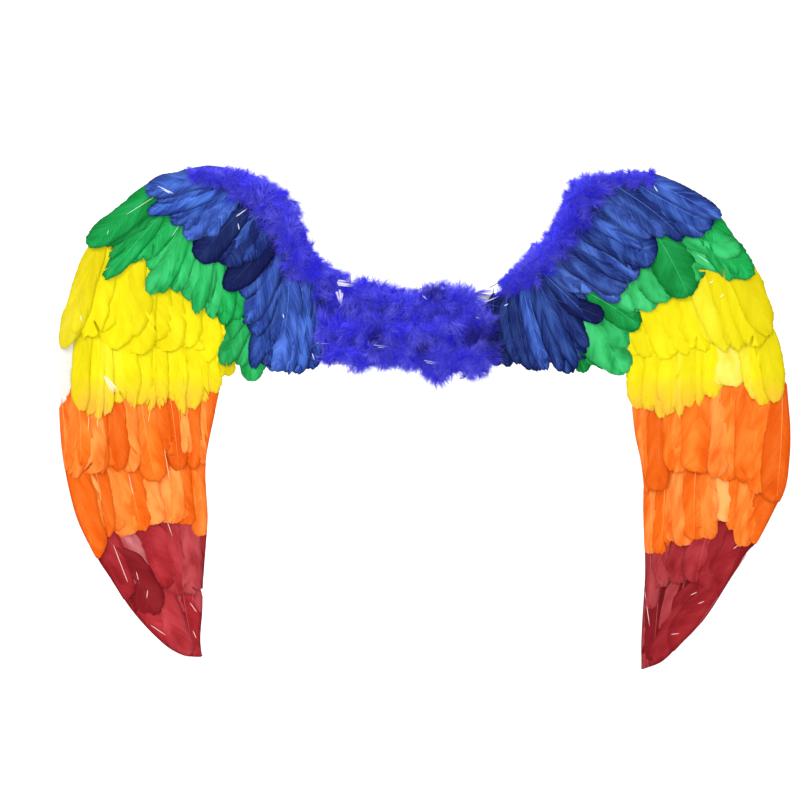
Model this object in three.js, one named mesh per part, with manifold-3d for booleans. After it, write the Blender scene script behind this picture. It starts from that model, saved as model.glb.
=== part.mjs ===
// Costume wings: dyed feathers glued in overlapping rows on two stiff white cards, joined by a centre
// panel under fluffy marabou, with two elastic shoulder loops behind it.
// Millimetres. +X is the viewer's right, +Y points to the wearer, +Z is up.
// The origin is the middle of the centre panel's rear face, which lies on the wearer's back.

import * as THREE from "three";
import Module from "manifold-3d";

const wasm = await Module();
wasm.setup();

// Driving dimensions
const HALF_SPAN = 360; // the wings reach this far to each side
const CARD_THICKNESS = 2;
const SEAT_GAP = 0.3; // left between pieces that are glued or sewn together
const WING_FRONT = 2 * CARD_THICKNESS + SEAT_GAP; // the wing cards lie on the centre panel's front
const SWEEP = 20; // the wings' outer edges come forward by this much
const SWEEP_START = 105;
const TIP_CURL = 14; // the lower tips turn back by this much
const TIP_CURL_START = -40;
const LOWEST_TIP = -334;

// Feathers
const FEATHER_LIFT = 0.7; // a root's height above the card
const FEATHER_SLOPE = 0.1; // rise of a feather from root to tip, per length
const FEATHER_THICKNESS = 1.5; // at the shaft; the vane thins to its edges
const FEATHER_CAMBER = 0.5; // the vane's edges lie lower than its shaft
const FEATHER_ROLL = 1.2; // the vane's inner edge lies higher, on the next feather of the row
const FEATHER_BEND = 0.03; // sideways bend of the shaft, per length
const ROOT_THICKNESS = 0.7; // at the shaft where it enters the tape
const ROOT_BAND_LIFT = 0.35; // the tape that holds the roots, above the card
const ROOT_BAND_BEHIND = 3;
const ROOT_BAND_AHEAD = 5;
const ROOT_BAND_THICKNESS = 1.9;
const ROOT_BAND_STEPS = 5;

// Marabou
const TRIM_LIFT = 4.4; // the trim lies on the roots of the blue feathers
const TRIM_HEIGHT = 22;
const CENTRE_HEIGHT = 24;
const DOME_RADIUS = 16; // the half width at which a strip has its full height
const DOME_SIDES = 6;
const STRIP_STEPS = 8;
const STRIP_END_SHARE = 0.5; // of the half width, at a strip's very end
const STRIP_END_POWER = 10; // the higher, the squarer a strip's ends
const HEADING_STEP = 0.02; // of a strip's length, to find which way it runs
const LOCK_ROOT = 0.75; // share of the dome's radius where a lock starts
const LOCK_LENGTH = 12; // beyond the dome
const LOCK_WIDTH = 16;
const LOCK_CLEARANCE = 0.06; // radians between a lock's foot and the strip's back
const LOCK_LEAN_STEP = 7; // radians from one lock's lean along the strip to the next one's
const GOLDEN = 0.618034; // spreads the locks evenly round the dome

// Elastic loops
const STRAP_WIDTH = 20;
const STRAP_THICKNESS = 1.5;
const STRAP_PLACE = 64; // middle of the strap from the centre line
const STRAP_HALF_HEIGHT = 34;
const STRAP_DEPTH = 112; // from the panel to where the round end starts
const STRAP_CORNER = 14;
const STRAP_TAB_END = 8;

// A table is a list of rows with named columns.
function table(columns, rows) {
  const names = columns.split(" ");
  return rows.map((row) =>
    Object.fromEntries(names.map((name, i) => [name, row[i]])),
  );
}

const CARD_COLUMNS = "outer_reach outer_height inner_reach inner_height";
const ROW_COLUMNS = "root_reach root_height tip_reach tip_height";
const STRIP_COLUMNS = "reach height half_width";

// Outline of each wing card, in sections from the centre panel to the tip
const CARDS = {
  left: table(CARD_COLUMNS, [
    [88, 38, 103, -26],
    [126, 100, 132, -34],
    [168, 144, 166, -38],
    [225, 145, 190, -32],
    [297, 108, 209, -44],
    [337, 44, 214, -74],
    [354, -18, 216, -102],
    [353, -94, 221, -136],
    [339, -157, 219, -184],
    [314, -219, 220, -229],
    [280, -271, 223, -271],
    [246, -306, 224, -308],
  ]),
  right: table(CARD_COLUMNS, [
    [86, 34, 94, -24],
    [122, 82, 124, -33],
    [160, 138, 158, -36],
    [212, 146, 186, -30],
    [273, 119, 209, -40],
    [311, 72, 216, -68],
    [333, 20, 215, -96],
    [350, -57, 221, -130],
    [352, -137, 223, -174],
    [330, -195, 226, -223],
    [291, -252, 225, -271],
    [247, -308, 224, -316],
  ]),
};
const CARD_SECTIONS = 15;
const CARD_STRIPS = 4;

// Feather rows of each wing, from the card up: stations from the outer edge to the inner edge
const ROWS = {
  left: {
    red_lower: {
      dye: "red", count: 5, width: 30,
      stations: table(ROW_COLUMNS, [
        [295, -233, 252, -310],
        [260, -240, 230, -321],
        [234, -236, 226, -321],
      ]),
    },
    red_upper: {
      dye: "red", count: 6, width: 30,
      stations: table(ROW_COLUMNS, [
        [322, -191, 289, -264],
        [292, -181, 262, -279],
        [266, -181, 246, -258],
        [232, -181, 226, -259],
      ]),
    },
    orange_lower: {
      dye: "orange", count: 8, width: 27,
      stations: table(ROW_COLUMNS, [
        [342, -116, 319, -224],
        [313, -125, 299, -208],
        [277, -128, 261, -200],
        [228, -122, 224, -207],
      ]),
    },
    orange_upper: {
      dye: "orange", count: 8, width: 27,
      stations: table(ROW_COLUMNS, [
        [346, -59, 346, -140],
        [303, -62, 302, -145],
        [261, -62, 259, -147],
        [218, -58, 223, -138],
      ]),
    },
    yellow_lower: {
      dye: "yellow", count: 8, width: 26,
      stations: table(ROW_COLUMNS, [
        [328, 3, 337, -82],
        [290, -2, 296, -86],
        [249, -6, 248, -80],
        [208, -20, 207, -74],
      ]),
    },
    yellow_upper: {
      dye: "yellow", count: 9, width: 26,
      stations: table(ROW_COLUMNS, [
        [311, 88, 352, -18],
        [278, 73, 306, -24],
        [240, 50, 258, -25],
        [203, 12, 211, -38],
      ]),
    },
    green: {
      dye: "green", count: 11, width: 23,
      stations: table(ROW_COLUMNS, [
        [252, 135, 326, 84],
        [238, 119, 306, 51],
        [218, 98, 267, 35],
        [187, 69, 221, 16],
        [169, 45, 193, 2],
        [160, 28, 188, -42],
        [146, 18, 168, -50],
      ]),
    },
    blue: {
      dye: "blue", count: 13, width: 25,
      stations: table(ROW_COLUMNS, [
        [199, 149, 288, 125],
        [175, 124, 238, 87],
        [144, 94, 198, 35],
        [128, 59, 165, -43],
        [103, 42, 106, -38],
      ]),
    },
  },
  right: {
    red_lower: {
      dye: "red", count: 5, width: 30,
      stations: table(ROW_COLUMNS, [
        [291, -243, 258, -307],
        [262, -238, 234, -327],
        [232, -240, 225, -333],
      ]),
    },
    red_upper: {
      dye: "red", count: 6, width: 30,
      stations: table(ROW_COLUMNS, [
        [315, -189, 285, -273],
        [281, -181, 264, -254],
        [258, -184, 246, -256],
        [233, -191, 232, -273],
      ]),
    },
    orange_lower: {
      dye: "orange", count: 8, width: 27,
      stations: table(ROW_COLUMNS, [
        [343, -138, 320, -212],
        [325, -132, 309, -214],
        [285, -125, 279, -208],
        [256, -128, 258, -214],
        [228, -136, 230, -222],
      ]),
    },
    orange_upper: {
      dye: "orange", count: 8, width: 27,
      stations: table(ROW_COLUMNS, [
        [350, -56, 349, -171],
        [315, -49, 311, -148],
        [275, -51, 273, -142],
        [242, -63, 240, -152],
        [219, -63, 228, -163],
      ]),
    },
    yellow_lower: {
      dye: "yellow", count: 9, width: 26,
      stations: table(ROW_COLUMNS, [
        [338, 8, 351, -73],
        [309, 6, 322, -67],
        [278, 3, 281, -69],
        [246, 0, 246, -87],
        [216, -17, 220, -83],
      ]),
    },
    yellow_upper: {
      dye: "yellow", count: 9, width: 26,
      stations: table(ROW_COLUMNS, [
        [300, 84, 349, -14],
        [273, 72, 315, -22],
        [229, 37, 264, -24],
        [203, 16, 216, -47],
      ]),
    },
    green: {
      dye: "green", count: 11, width: 23,
      stations: table(ROW_COLUMNS, [
        [266, 133, 325, 54],
        [239, 111, 303, 46],
        [214, 101, 260, 29],
        [193, 72, 222, 18],
        [173, 45, 211, 1],
        [158, 20, 199, -42],
        [143, 8, 168, -43],
      ]),
    },
    blue: {
      dye: "blue", count: 13, width: 25,
      stations: table(ROW_COLUMNS, [
        [223, 148, 293, 112],
        [203, 138, 271, 89],
        [177, 121, 229, 69],
        [149, 88, 205, 35],
        [131, 68, 173, 8],
        [119, 54, 150, -47],
        [93, 38, 93, -38],
      ]),
    },
  },
};

// Share of a feather's half width at each share of its length, from the root to short of the tip
const FEATHER_OUTLINE = table("length_share width_share", [
  [0, 0.45],
  [0.3, 0.95],
  [0.78, 0.95],
  [0.96, 0.45],
]);

// Marabou strips: the trims' middle lines from the wing's top to the centre panel, and the panel's rows
const TRIMS = {
  left: table(STRIP_COLUMNS, [
    [214, 148, 8],
    [180, 146, 14],
    [152, 129, 16],
    [134, 103, 16],
    [122, 78, 15],
    [108, 62, 13],
    [90, 51, 11],
  ]),
  right: table(STRIP_COLUMNS, [
    [248, 146, 6],
    [214, 144, 10],
    [181, 137, 13],
    [155, 120, 15],
    [138, 97, 15],
    [118, 75, 14],
    [102, 58, 13],
    [84, 46, 11],
  ]),
};
const TRIM_LOCKS = 23; // on each trim
const CENTRE_ROWS = [
  table(STRIP_COLUMNS, [[-88, 23, 14], [-45, 28, 16], [0, 22, 15], [40, 26, 16], [74, 19, 14]]),
  table(STRIP_COLUMNS, [[-89, 1, 15], [-45, 0, 16], [0, -2, 16], [40, -1, 16], [78, -4, 15]]),
  table(STRIP_COLUMNS, [[-88, -24, 13], [-45, -28, 15], [0, -30, 16], [38, -34, 18], [75, -26, 14]]),
];
const CENTRE_ROW_LOCKS = 13; // on each row

// Centre panel
const PANEL_LEFT = -101;
const PANEL_RIGHT = 93;
const PANEL_TOP = 34;
const PANEL_BOTTOM = -36;
const PANEL_CORNER = 10;

const SIDES = { left: -1, right: 1 };

function clamp(value, low, high) {
  return Math.min(Math.max(value, low), high);
}

// A table's columns at t from 0, its first row, to 1, its last, on a Catmull-Rom spline.
function along(rows, t) {
  const place = clamp(t, 0, 1) * (rows.length - 1);
  const i = Math.min(Math.floor(place), rows.length - 2);
  const w = place - i;
  const [before, from, to, after] = [i - 1, i, i + 1, i + 2].map(
    (k) => rows[clamp(k, 0, rows.length - 1)],
  );
  const blend = (a, b, c, d) =>
    0.5 * (2 * b + (c - a) * w + (2 * a - 5 * b + 4 * c - d) * w ** 2 + (3 * b - a - 3 * c + d) * w ** 3);
  return Object.fromEntries(
    Object.keys(from).map((name) => [
      name,
      blend(before[name], from[name], to[name], after[name]),
    ]),
  );
}

// How far the wing's surface lies behind the flat: its outer edge sweeps forward and its tip curls back.
function bow(reach, height) {
  const outwards = Math.max((reach - SWEEP_START) / (HALF_SPAN - SWEEP_START), 0);
  const downwards = Math.max((TIP_CURL_START - height) / (TIP_CURL_START - LOWEST_TIP), 0);
  return TIP_CURL * downwards ** 2 - SWEEP * outwards ** 2;
}

// A place on a wing: reach from the centre line, height, and lift in front of the wing card
function wingPlace(side) {
  return (reach, height, lift) =>
    new THREE.Vector3(SIDES[side] * reach, bow(reach, height) - WING_FRONT - lift, height);
}

// A place on the centre panel: x, height, and lift in front of the panel
function panelPlace(x, height, lift) {
  return new THREE.Vector3(x, -CARD_THICKNESS - lift, height);
}

// A closed solid through rings of points, each ring a loop; a ring of one point is a sharp end.
function loft(rings) {
  const points = rings.flat();
  const starts = rings.map((_, i) => rings.slice(0, i).reduce((n, ring) => n + ring.length, 0));
  const triangles = [];
  rings.slice(1).forEach((ring, i) => {
    const [a, b] = [starts[i], starts[i + 1]];
    const n = Math.max(ring.length, rings[i].length);
    for (let k = 0; k < n; k++) {
      const next = (k + 1) % n;
      if (ring.length === 1) triangles.push([a + k, a + next, b]);
      else triangles.push([a + k, a + next, b + next], [a + k, b + next, b + k]);
    }
  });
  const cap = (start, n, turned) => {
    for (let k = 1; k < n - 1; k++) {
      triangles.push(turned ? [start, start + k + 1, start + k] : [start, start + k, start + k + 1]);
    }
  };
  cap(starts[0], rings[0].length, true);
  cap(starts.at(-1), rings.at(-1).length, false);
  return solid(points, triangles);
}

// A manifold solid from points and triangles, turned so that its faces point outwards
function solid(points, triangles) {
  const volume = triangles.reduce((sum, [a, b, c]) => {
    const normal = points[b].clone().cross(points[c]);
    return sum + points[a].dot(normal);
  }, 0);
  const outwards = volume > 0 ? triangles : triangles.map(([a, b, c]) => [a, c, b]);
  return new wasm.Manifold(
    new wasm.Mesh({
      numProp: 3,
      vertProperties: new Float32Array(points.flatMap((p) => p.toArray())),
      triVerts: new Uint32Array(outwards.flat()),
    }),
  );
}

function geometryOf(manifold) {
  const mesh = manifold.getMesh();
  const geometry = new THREE.BufferGeometry();
  geometry.setAttribute("position", new THREE.BufferAttribute(mesh.vertProperties, 3));
  geometry.setIndex(new THREE.BufferAttribute(mesh.triVerts, 1));
  geometry.computeVertexNormals();
  return geometry;
}

function fused(solids) {
  return solids.reduce((whole, piece) => whole.add(piece));
}

// One wing card: a curved sheet between its outer and inner edge
function cardSolid(side) {
  const place = wingPlace(side);
  const rings = [];
  for (let i = 0; i <= CARD_SECTIONS; i++) {
    const edge = along(CARDS[side], i / CARD_SECTIONS);
    const face = (lift) =>
      Array.from({ length: CARD_STRIPS + 1 }, (_, k) => {
        const share = k / CARD_STRIPS;
        return place(
          THREE.MathUtils.lerp(edge.outer_reach, edge.inner_reach, share),
          THREE.MathUtils.lerp(edge.outer_height, edge.inner_height, share),
          lift,
        );
      });
    rings.push([...face(0), ...face(-CARD_THICKNESS).reverse()]);
  }
  return loft(rings);
}

// One feather: a blade that is thick at its shaft, sloping off the card from its root to its tip
function featherSolid(station, width, index, place) {
  const root = new THREE.Vector2(station.root_reach, station.root_height);
  const tip = new THREE.Vector2(station.tip_reach, station.tip_height);
  const axis = tip.clone().sub(root);
  const length = axis.length();
  const across = new THREE.Vector2(-axis.y, axis.x).divideScalar(length);
  const bend = FEATHER_BEND * length * (index % 3 - 1);
  const at = (share) =>
    root.clone().addScaledVector(axis, share).addScaledVector(across, bend * Math.sin(Math.PI * share));
  const liftAt = (share) => FEATHER_LIFT + FEATHER_SLOPE * length * share;
  const rings = FEATHER_OUTLINE.map(({ length_share, width_share }, section) => {
    const middle = at(length_share);
    const lift = liftAt(length_share);
    const thick = section === 0 ? ROOT_THICKNESS : FEATHER_THICKNESS;
    const free = section === 0 ? 0 : 1; // the root lies flat in its tape
    const edge = (sign) => {
      const p = middle.clone().addScaledVector(across, (sign * width_share * width) / 2);
      const fall = FEATHER_CAMBER * width_share ** 2 + sign * FEATHER_ROLL * width_share;
      return place(p.x, p.y, lift + thick / 3 - free * fall);
    };
    return [
      edge(-1),
      place(middle.x, middle.y, lift),
      edge(1),
      place(middle.x, middle.y, lift + thick),
    ];
  });
  const end = at(1);
  rings.push([place(end.x, end.y, liftAt(1) + FEATHER_THICKNESS / 3)]);
  return loft(rings);
}

// The tape that a row's roots are glued to
function rootBandSolid(stations, place) {
  const rings = [];
  for (let i = 0; i <= ROOT_BAND_STEPS; i++) {
    const s = along(stations, i / ROOT_BAND_STEPS);
    const axis = new THREE.Vector2(s.tip_reach - s.root_reach, s.tip_height - s.root_height).normalize();
    const corner = (ahead, lift) =>
      place(s.root_reach + axis.x * ahead, s.root_height + axis.y * ahead, lift);
    const top = ROOT_BAND_LIFT + ROOT_BAND_THICKNESS;
    rings.push([
      corner(-ROOT_BAND_BEHIND, ROOT_BAND_LIFT),
      corner(ROOT_BAND_AHEAD, ROOT_BAND_LIFT),
      corner(ROOT_BAND_AHEAD, top),
      corner(-ROOT_BAND_BEHIND, top),
    ]);
  }
  return loft(rings);
}

function featherRowSolid(row, place) {
  const feathers = Array.from({ length: row.count }, (_, i) =>
    featherSolid(along(row.stations, i / (row.count - 1)), row.width, i, place),
  );
  return fused([rootBandSolid(row.stations, place), ...feathers]);
}

// One marabou strip: a dome along its middle line, with pointed locks standing out of it all round
function stripSolid(line, domeHeight, baseLift, lockCount, place) {
  const sectionAt = (t) => {
    const here = along(line, t);
    const [back, ahead] = [along(line, t - HEADING_STEP), along(line, t + HEADING_STEP)];
    const heading = new THREE.Vector2(ahead.reach - back.reach, ahead.height - back.height).normalize();
    const rounding = Math.sqrt(1 - Math.min(1, (2 * t - 1) ** STRIP_END_POWER));
    return { here, heading, half: here.half_width * Math.max(rounding, STRIP_END_SHARE) };
  };
  // A place in the section at t: an angle over the dome, a share of its radius, and a step along the strip
  const onDome = (t, angle, share, step) => {
    const { here, heading, half } = sectionAt(t);
    const sideways = half * share * Math.cos(angle);
    return place(
      here.reach - heading.y * sideways + heading.x * step,
      here.height + heading.x * sideways + heading.y * step,
      baseLift + (half / DOME_RADIUS) * domeHeight * share * Math.sin(angle),
    );
  };
  const rings = Array.from({ length: STRIP_STEPS + 1 }, (_, i) =>
    Array.from({ length: DOME_SIDES + 1 }, (_, k) =>
      onDome(i / STRIP_STEPS, (Math.PI * k) / DOME_SIDES, 1, 0),
    ),
  );
  const locks = Array.from({ length: lockCount }, (_, i) => {
    const t = (i + 0.5) / lockCount;
    const lean = LOCK_WIDTH * Math.sin(LOCK_LEAN_STEP * i);
    const { half } = sectionAt(t);
    const spread = LOCK_WIDTH / (2 * Math.max(half, DOME_RADIUS));
    const reach = 1 + LOCK_LENGTH / half;
    const low = spread + LOCK_CLEARANCE;
    const angle = low + (Math.PI - 2 * low) * ((i * GOLDEN) % 1);
    const foot = [
      onDome(t, angle - spread, LOCK_ROOT, 0),
      onDome(t, angle + spread, LOCK_ROOT, -LOCK_WIDTH / 2),
      onDome(t, angle + spread, LOCK_ROOT, LOCK_WIDTH / 2),
    ];
    return loft([foot, [onDome(t, angle, reach, lean)]]);
  });
  return fused([loft(rings), ...locks]);
}

// The panel is cut from the same card as the wings, with rounded corners.
function panelGeometry() {
  const shape = new THREE.Shape();
  const [left, right, top, bottom, r] = [PANEL_LEFT, PANEL_RIGHT, PANEL_TOP, PANEL_BOTTOM, PANEL_CORNER];
  shape.moveTo(left + r, bottom);
  shape.lineTo(right - r, bottom);
  shape.absarc(right - r, bottom + r, r, -Math.PI / 2, 0);
  shape.lineTo(right, top - r);
  shape.absarc(right - r, top - r, r, 0, Math.PI / 2);
  shape.lineTo(left + r, top);
  shape.absarc(left + r, top - r, r, Math.PI / 2, Math.PI);
  shape.lineTo(left, bottom + r);
  shape.absarc(left + r, bottom + r, r, Math.PI, 1.5 * Math.PI);
  return new THREE.ExtrudeGeometry(shape, {
    depth: CARD_THICKNESS,
    bevelEnabled: false,
    curveSegments: 3,
  });
}

// A shoulder loop seen from the side: both ends sewn flat to the panel, and a round far end.
// The shape's x is the distance behind the panel and its y is the height.
function strapGeometry() {
  const [near, thick, half] = [SEAT_GAP, STRAP_THICKNESS, STRAP_HALF_HEIGHT];
  const [corner, far] = [near + STRAP_CORNER, near + STRAP_DEPTH];
  const bend = half - STRAP_CORNER;
  const quarter = Math.PI / 2;
  const shape = new THREE.Shape();
  shape.moveTo(near, STRAP_TAB_END);
  shape.lineTo(near, bend);
  shape.absarc(corner, bend, STRAP_CORNER, 2 * quarter, quarter, true);
  shape.absarc(far, 0, half, quarter, -quarter, true);
  shape.absarc(corner, -bend, STRAP_CORNER, -quarter, -2 * quarter, true);
  shape.lineTo(near, -STRAP_TAB_END);
  shape.lineTo(near + thick, -STRAP_TAB_END);
  shape.absarc(corner, -bend, STRAP_CORNER - thick, -2 * quarter, -quarter, false);
  shape.absarc(far, 0, half - thick, -quarter, quarter, false);
  shape.absarc(corner, bend, STRAP_CORNER - thick, quarter, 2 * quarter, false);
  shape.lineTo(near + thick, STRAP_TAB_END);
  return new THREE.ExtrudeGeometry(shape, {
    depth: STRAP_WIDTH,
    bevelEnabled: false,
    curveSegments: 4,
  });
}

const MATERIALS = {
  card: new THREE.MeshStandardMaterial({ color: "#f1f1ee", roughness: 0.8 }),
  blue: new THREE.MeshStandardMaterial({ color: "#3a57b4", roughness: 0.55 }),
  green: new THREE.MeshStandardMaterial({ color: "#1fae55", roughness: 0.55 }),
  yellow: new THREE.MeshStandardMaterial({ color: "#faf015", roughness: 0.55 }),
  orange: new THREE.MeshStandardMaterial({ color: "#fb7f23", roughness: 0.55 }),
  red: new THREE.MeshStandardMaterial({ color: "#b02b2f", roughness: 0.55 }),
  marabou: new THREE.MeshStandardMaterial({ color: "#3d39da", roughness: 0.9 }),
  elastic: new THREE.MeshStandardMaterial({ color: "#f4f4f2", roughness: 0.85 }),
};

const wings = new THREE.Group();

function addPiece(parent, name, geometry, material) {
  const mesh = new THREE.Mesh(geometry, MATERIALS[material]);
  mesh.name = name;
  parent.add(mesh);
  return mesh;
}

for (const side of Object.keys(SIDES)) {
  const wing = new THREE.Group();
  const place = wingPlace(side);
  addPiece(wing, `wing_card_${side}`, geometryOf(cardSolid(side)), "card");
  for (const [name, row] of Object.entries(ROWS[side])) {
    addPiece(wing, `${name}_feathers_${side}`, geometryOf(featherRowSolid(row, place)), row.dye);
  }
  const trim = stripSolid(TRIMS[side], TRIM_HEIGHT, TRIM_LIFT, TRIM_LOCKS, place);
  addPiece(wing, `marabou_trim_${side}`, geometryOf(trim), "marabou");
  wings.add(wing);
}

// The extruded panel's depth turns from its own +Z to the part's -Y.
const panel = addPiece(wings, "centre_panel", panelGeometry(), "card");
panel.rotation.x = Math.PI / 2;

const centre = fused(
  CENTRE_ROWS.map((line) => stripSolid(line, CENTRE_HEIGHT, SEAT_GAP, CENTRE_ROW_LOCKS, panelPlace)),
);
addPiece(wings, "marabou_centre", geometryOf(centre), "marabou");

// A strap's shape lies in the part's YZ plane, and its width runs along X.
const strapTurn = new THREE.Matrix4().makeBasis(
  new THREE.Vector3(0, 1, 0),
  new THREE.Vector3(0, 0, 1),
  new THREE.Vector3(1, 0, 0),
);
for (const [side, sign] of Object.entries(SIDES)) {
  const strap = addPiece(wings, `shoulder_strap_${side}`, strapGeometry(), "elastic");
  strap.quaternion.setFromRotationMatrix(strapTurn);
  strap.position.x = sign * STRAP_PLACE - STRAP_WIDTH / 2;
}

export default wings;
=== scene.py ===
"""Feather costume wings: rainbow rows of dyed feathers on white cards, marabou trim and elastic loops.

Metres. +X is the viewer's right, +Y points to the wearer and +Z is up. The origin is the middle of the
centre panel's rear face.
"""

import bpy
import numpy as np
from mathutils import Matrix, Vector


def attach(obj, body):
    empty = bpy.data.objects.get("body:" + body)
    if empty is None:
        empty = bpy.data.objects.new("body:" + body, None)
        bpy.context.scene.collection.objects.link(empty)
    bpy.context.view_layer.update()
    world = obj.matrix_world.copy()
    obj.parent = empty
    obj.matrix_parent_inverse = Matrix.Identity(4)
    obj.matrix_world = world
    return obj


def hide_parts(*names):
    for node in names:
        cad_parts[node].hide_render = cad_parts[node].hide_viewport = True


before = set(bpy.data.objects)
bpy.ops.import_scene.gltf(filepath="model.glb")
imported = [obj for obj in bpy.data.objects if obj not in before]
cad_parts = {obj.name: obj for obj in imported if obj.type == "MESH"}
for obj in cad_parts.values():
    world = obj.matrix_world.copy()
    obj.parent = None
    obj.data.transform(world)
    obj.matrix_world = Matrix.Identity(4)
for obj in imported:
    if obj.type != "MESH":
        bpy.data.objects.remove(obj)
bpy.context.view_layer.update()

# Wing cards and centre panel
# Two sheets of stiff white pasteboard, cut to the wings' outline with a knife, lap a small panel's front.
# The board is matt and faintly fibrous. It bows under the feathers: outer edges forward, lower tips back.
MM = 0.001
SIDES = {"left": -1, "right": 1}
CARD_THICKNESS = 2 * MM
SEAT_GAP = 0.3 * MM
WING_FRONT = 2 * CARD_THICKNESS + SEAT_GAP
HALF_SPAN = 360 * MM
SWEEP = 20 * MM
SWEEP_START = 105 * MM
TIP_CURL = 14 * MM
TIP_CURL_START = -40 * MM
LOWEST_TIP = -334 * MM

# Outer reach and height, then inner reach and height, in mm, in sections from the panel to the tip
CARDS = {
    "left": [
        (88, 38, 103, -26),
        (126, 100, 132, -34),
        (168, 144, 166, -38),
        (225, 145, 190, -32),
        (297, 108, 209, -44),
        (337, 44, 214, -74),
        (354, -18, 216, -102),
        (353, -94, 221, -136),
        (339, -157, 219, -184),
        (314, -219, 220, -229),
        (280, -271, 223, -271),
        (246, -306, 224, -308),
    ],
    "right": [
        (86, 34, 94, -24),
        (122, 82, 124, -33),
        (160, 138, 158, -36),
        (212, 146, 186, -30),
        (273, 119, 209, -40),
        (311, 72, 216, -68),
        (333, 20, 215, -96),
        (350, -57, 221, -130),
        (352, -137, 223, -174),
        (330, -195, 226, -223),
        (291, -252, 225, -271),
        (247, -308, 224, -316),
    ],
}
CARD_SECTIONS = 72
CARD_STRIPS = 18
PANEL_LEFT, PANEL_RIGHT = -101 * MM, 93 * MM
PANEL_TOP, PANEL_BOTTOM = 34 * MM, -36 * MM
PANEL_CORNER = 10 * MM
PANEL_CORNER_STEPS = 7
CARD_CREASE = np.radians(40)


def along(stations, t):
    """Catmull-Rom spline through the rows of stations, evenly spaced over t from 0 to 1."""
    rows = np.asarray(stations, float)
    place = np.clip(t, 0, 1) * (len(rows) - 1)
    i = np.minimum(place.astype(int), len(rows) - 2)
    w = (place - i)[:, None]
    a, b, c, d = (rows[np.clip(i + k, 0, len(rows) - 1)] for k in (-1, 0, 1, 2))
    return 0.5 * (2 * b + (c - a) * w + (2 * a - 5 * b + 4 * c - d) * w**2 + (3 * b - a - 3 * c + d) * w**3)


def on_wing(side, reach, height, lift):
    """Points at a reach from the centre line, a height, and a lift in front of the wing card.

    y = curl down^2 - sweep out^2 - front - lift, with out and down the shares of the bowed width and height.
    """
    out = np.maximum((reach - SWEEP_START) / (HALF_SPAN - SWEEP_START), 0)
    down = np.maximum((TIP_CURL_START - height) / (TIP_CURL_START - LOWEST_TIP), 0)
    y = TIP_CURL * down**2 - SWEEP * out**2 - WING_FRONT - lift
    return np.stack([SIDES[side] * reach, y, height], axis=-1)


def linear(colour):
    """Linear RGBA of an sRGB hex colour: ((c + 0.055) / 1.055)^2.4 above 0.04045, else c / 12.92."""
    srgb = np.array([int(colour[i : i + 2], 16) for i in (1, 3, 5)]) / 255
    return (*np.where(srgb > 0.04045, ((srgb + 0.055) / 1.055) ** 2.4, srgb / 12.92), 1.0)


def add_node(tree, kind, links=None, **settings):
    """Adds a shader node with its settings. links maps an input to a value or to another node's output."""
    made = tree.nodes.new("ShaderNode" + kind)
    for name, value in settings.items():
        setattr(made, name, value)
    for name, value in (links or {}).items():
        if isinstance(value, bpy.types.NodeSocket):
            tree.links.new(value, made.inputs[name])
        else:
            made.inputs[name].default_value = value
    return made


def new_material(name):
    """An empty node material, with its tree and its shader."""
    material = bpy.data.materials.new(name)
    material.use_nodes = True
    return material, material.node_tree, material.node_tree.nodes["Principled BSDF"]


def make_piece(name, points, faces, material, attributes=None, sharp=None):
    """A mesh object from an array of points and a list of face arrays, each of one number of corners."""
    sizes = np.concatenate([np.full(len(group), group.shape[1]) for group in faces])
    corners = np.concatenate([group.ravel() for group in faces])
    mesh = bpy.data.meshes.new(name)
    mesh.vertices.add(len(points))
    mesh.vertices.foreach_set("co", np.asarray(points, np.float32).ravel())
    mesh.loops.add(len(corners))
    mesh.loops.foreach_set("vertex_index", corners.astype(np.int32))
    mesh.polygons.add(len(sizes))
    mesh.polygons.foreach_set("loop_start", (np.cumsum(sizes) - sizes).astype(np.int32))
    mesh.update(calc_edges=True)
    mesh.polygons.foreach_set("use_smooth", np.ones(len(sizes), bool))
    if sharp is not None:
        mesh.set_sharp_from_angle(angle=sharp)
    for attribute, values in (attributes or {}).items():
        layer = mesh.attributes.new(attribute, "FLOAT_VECTOR", "POINT")
        layer.data.foreach_set("vector", np.asarray(values, np.float32).ravel())
    mesh.materials.append(material)
    piece = bpy.data.objects.new(name, mesh)
    bpy.context.scene.collection.objects.link(piece)
    return piece


def loft(rings):
    """A closed body through rings of points, shape (rings, points, 3), with a flat face over each end."""
    count, size = rings.shape[:2]
    grid = np.arange(count * size).reshape(count, size)
    turned = np.roll(grid, -1, axis=1)
    sides = np.stack([grid[:-1], turned[:-1], turned[1:], grid[1:]], axis=-1).reshape(-1, 4)
    faces = [sides, grid[:1, ::-1], grid[-1:]]
    points = rings.reshape(-1, 3)
    a, b, c, d = (points[sides[:, k]] for k in range(4))
    volume = np.einsum("ij,ij->", (a + b + c + d) / 4, np.cross(c - a, d - b))
    return points, faces if volume > 0 else [group[:, ::-1] for group in faces]


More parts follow.
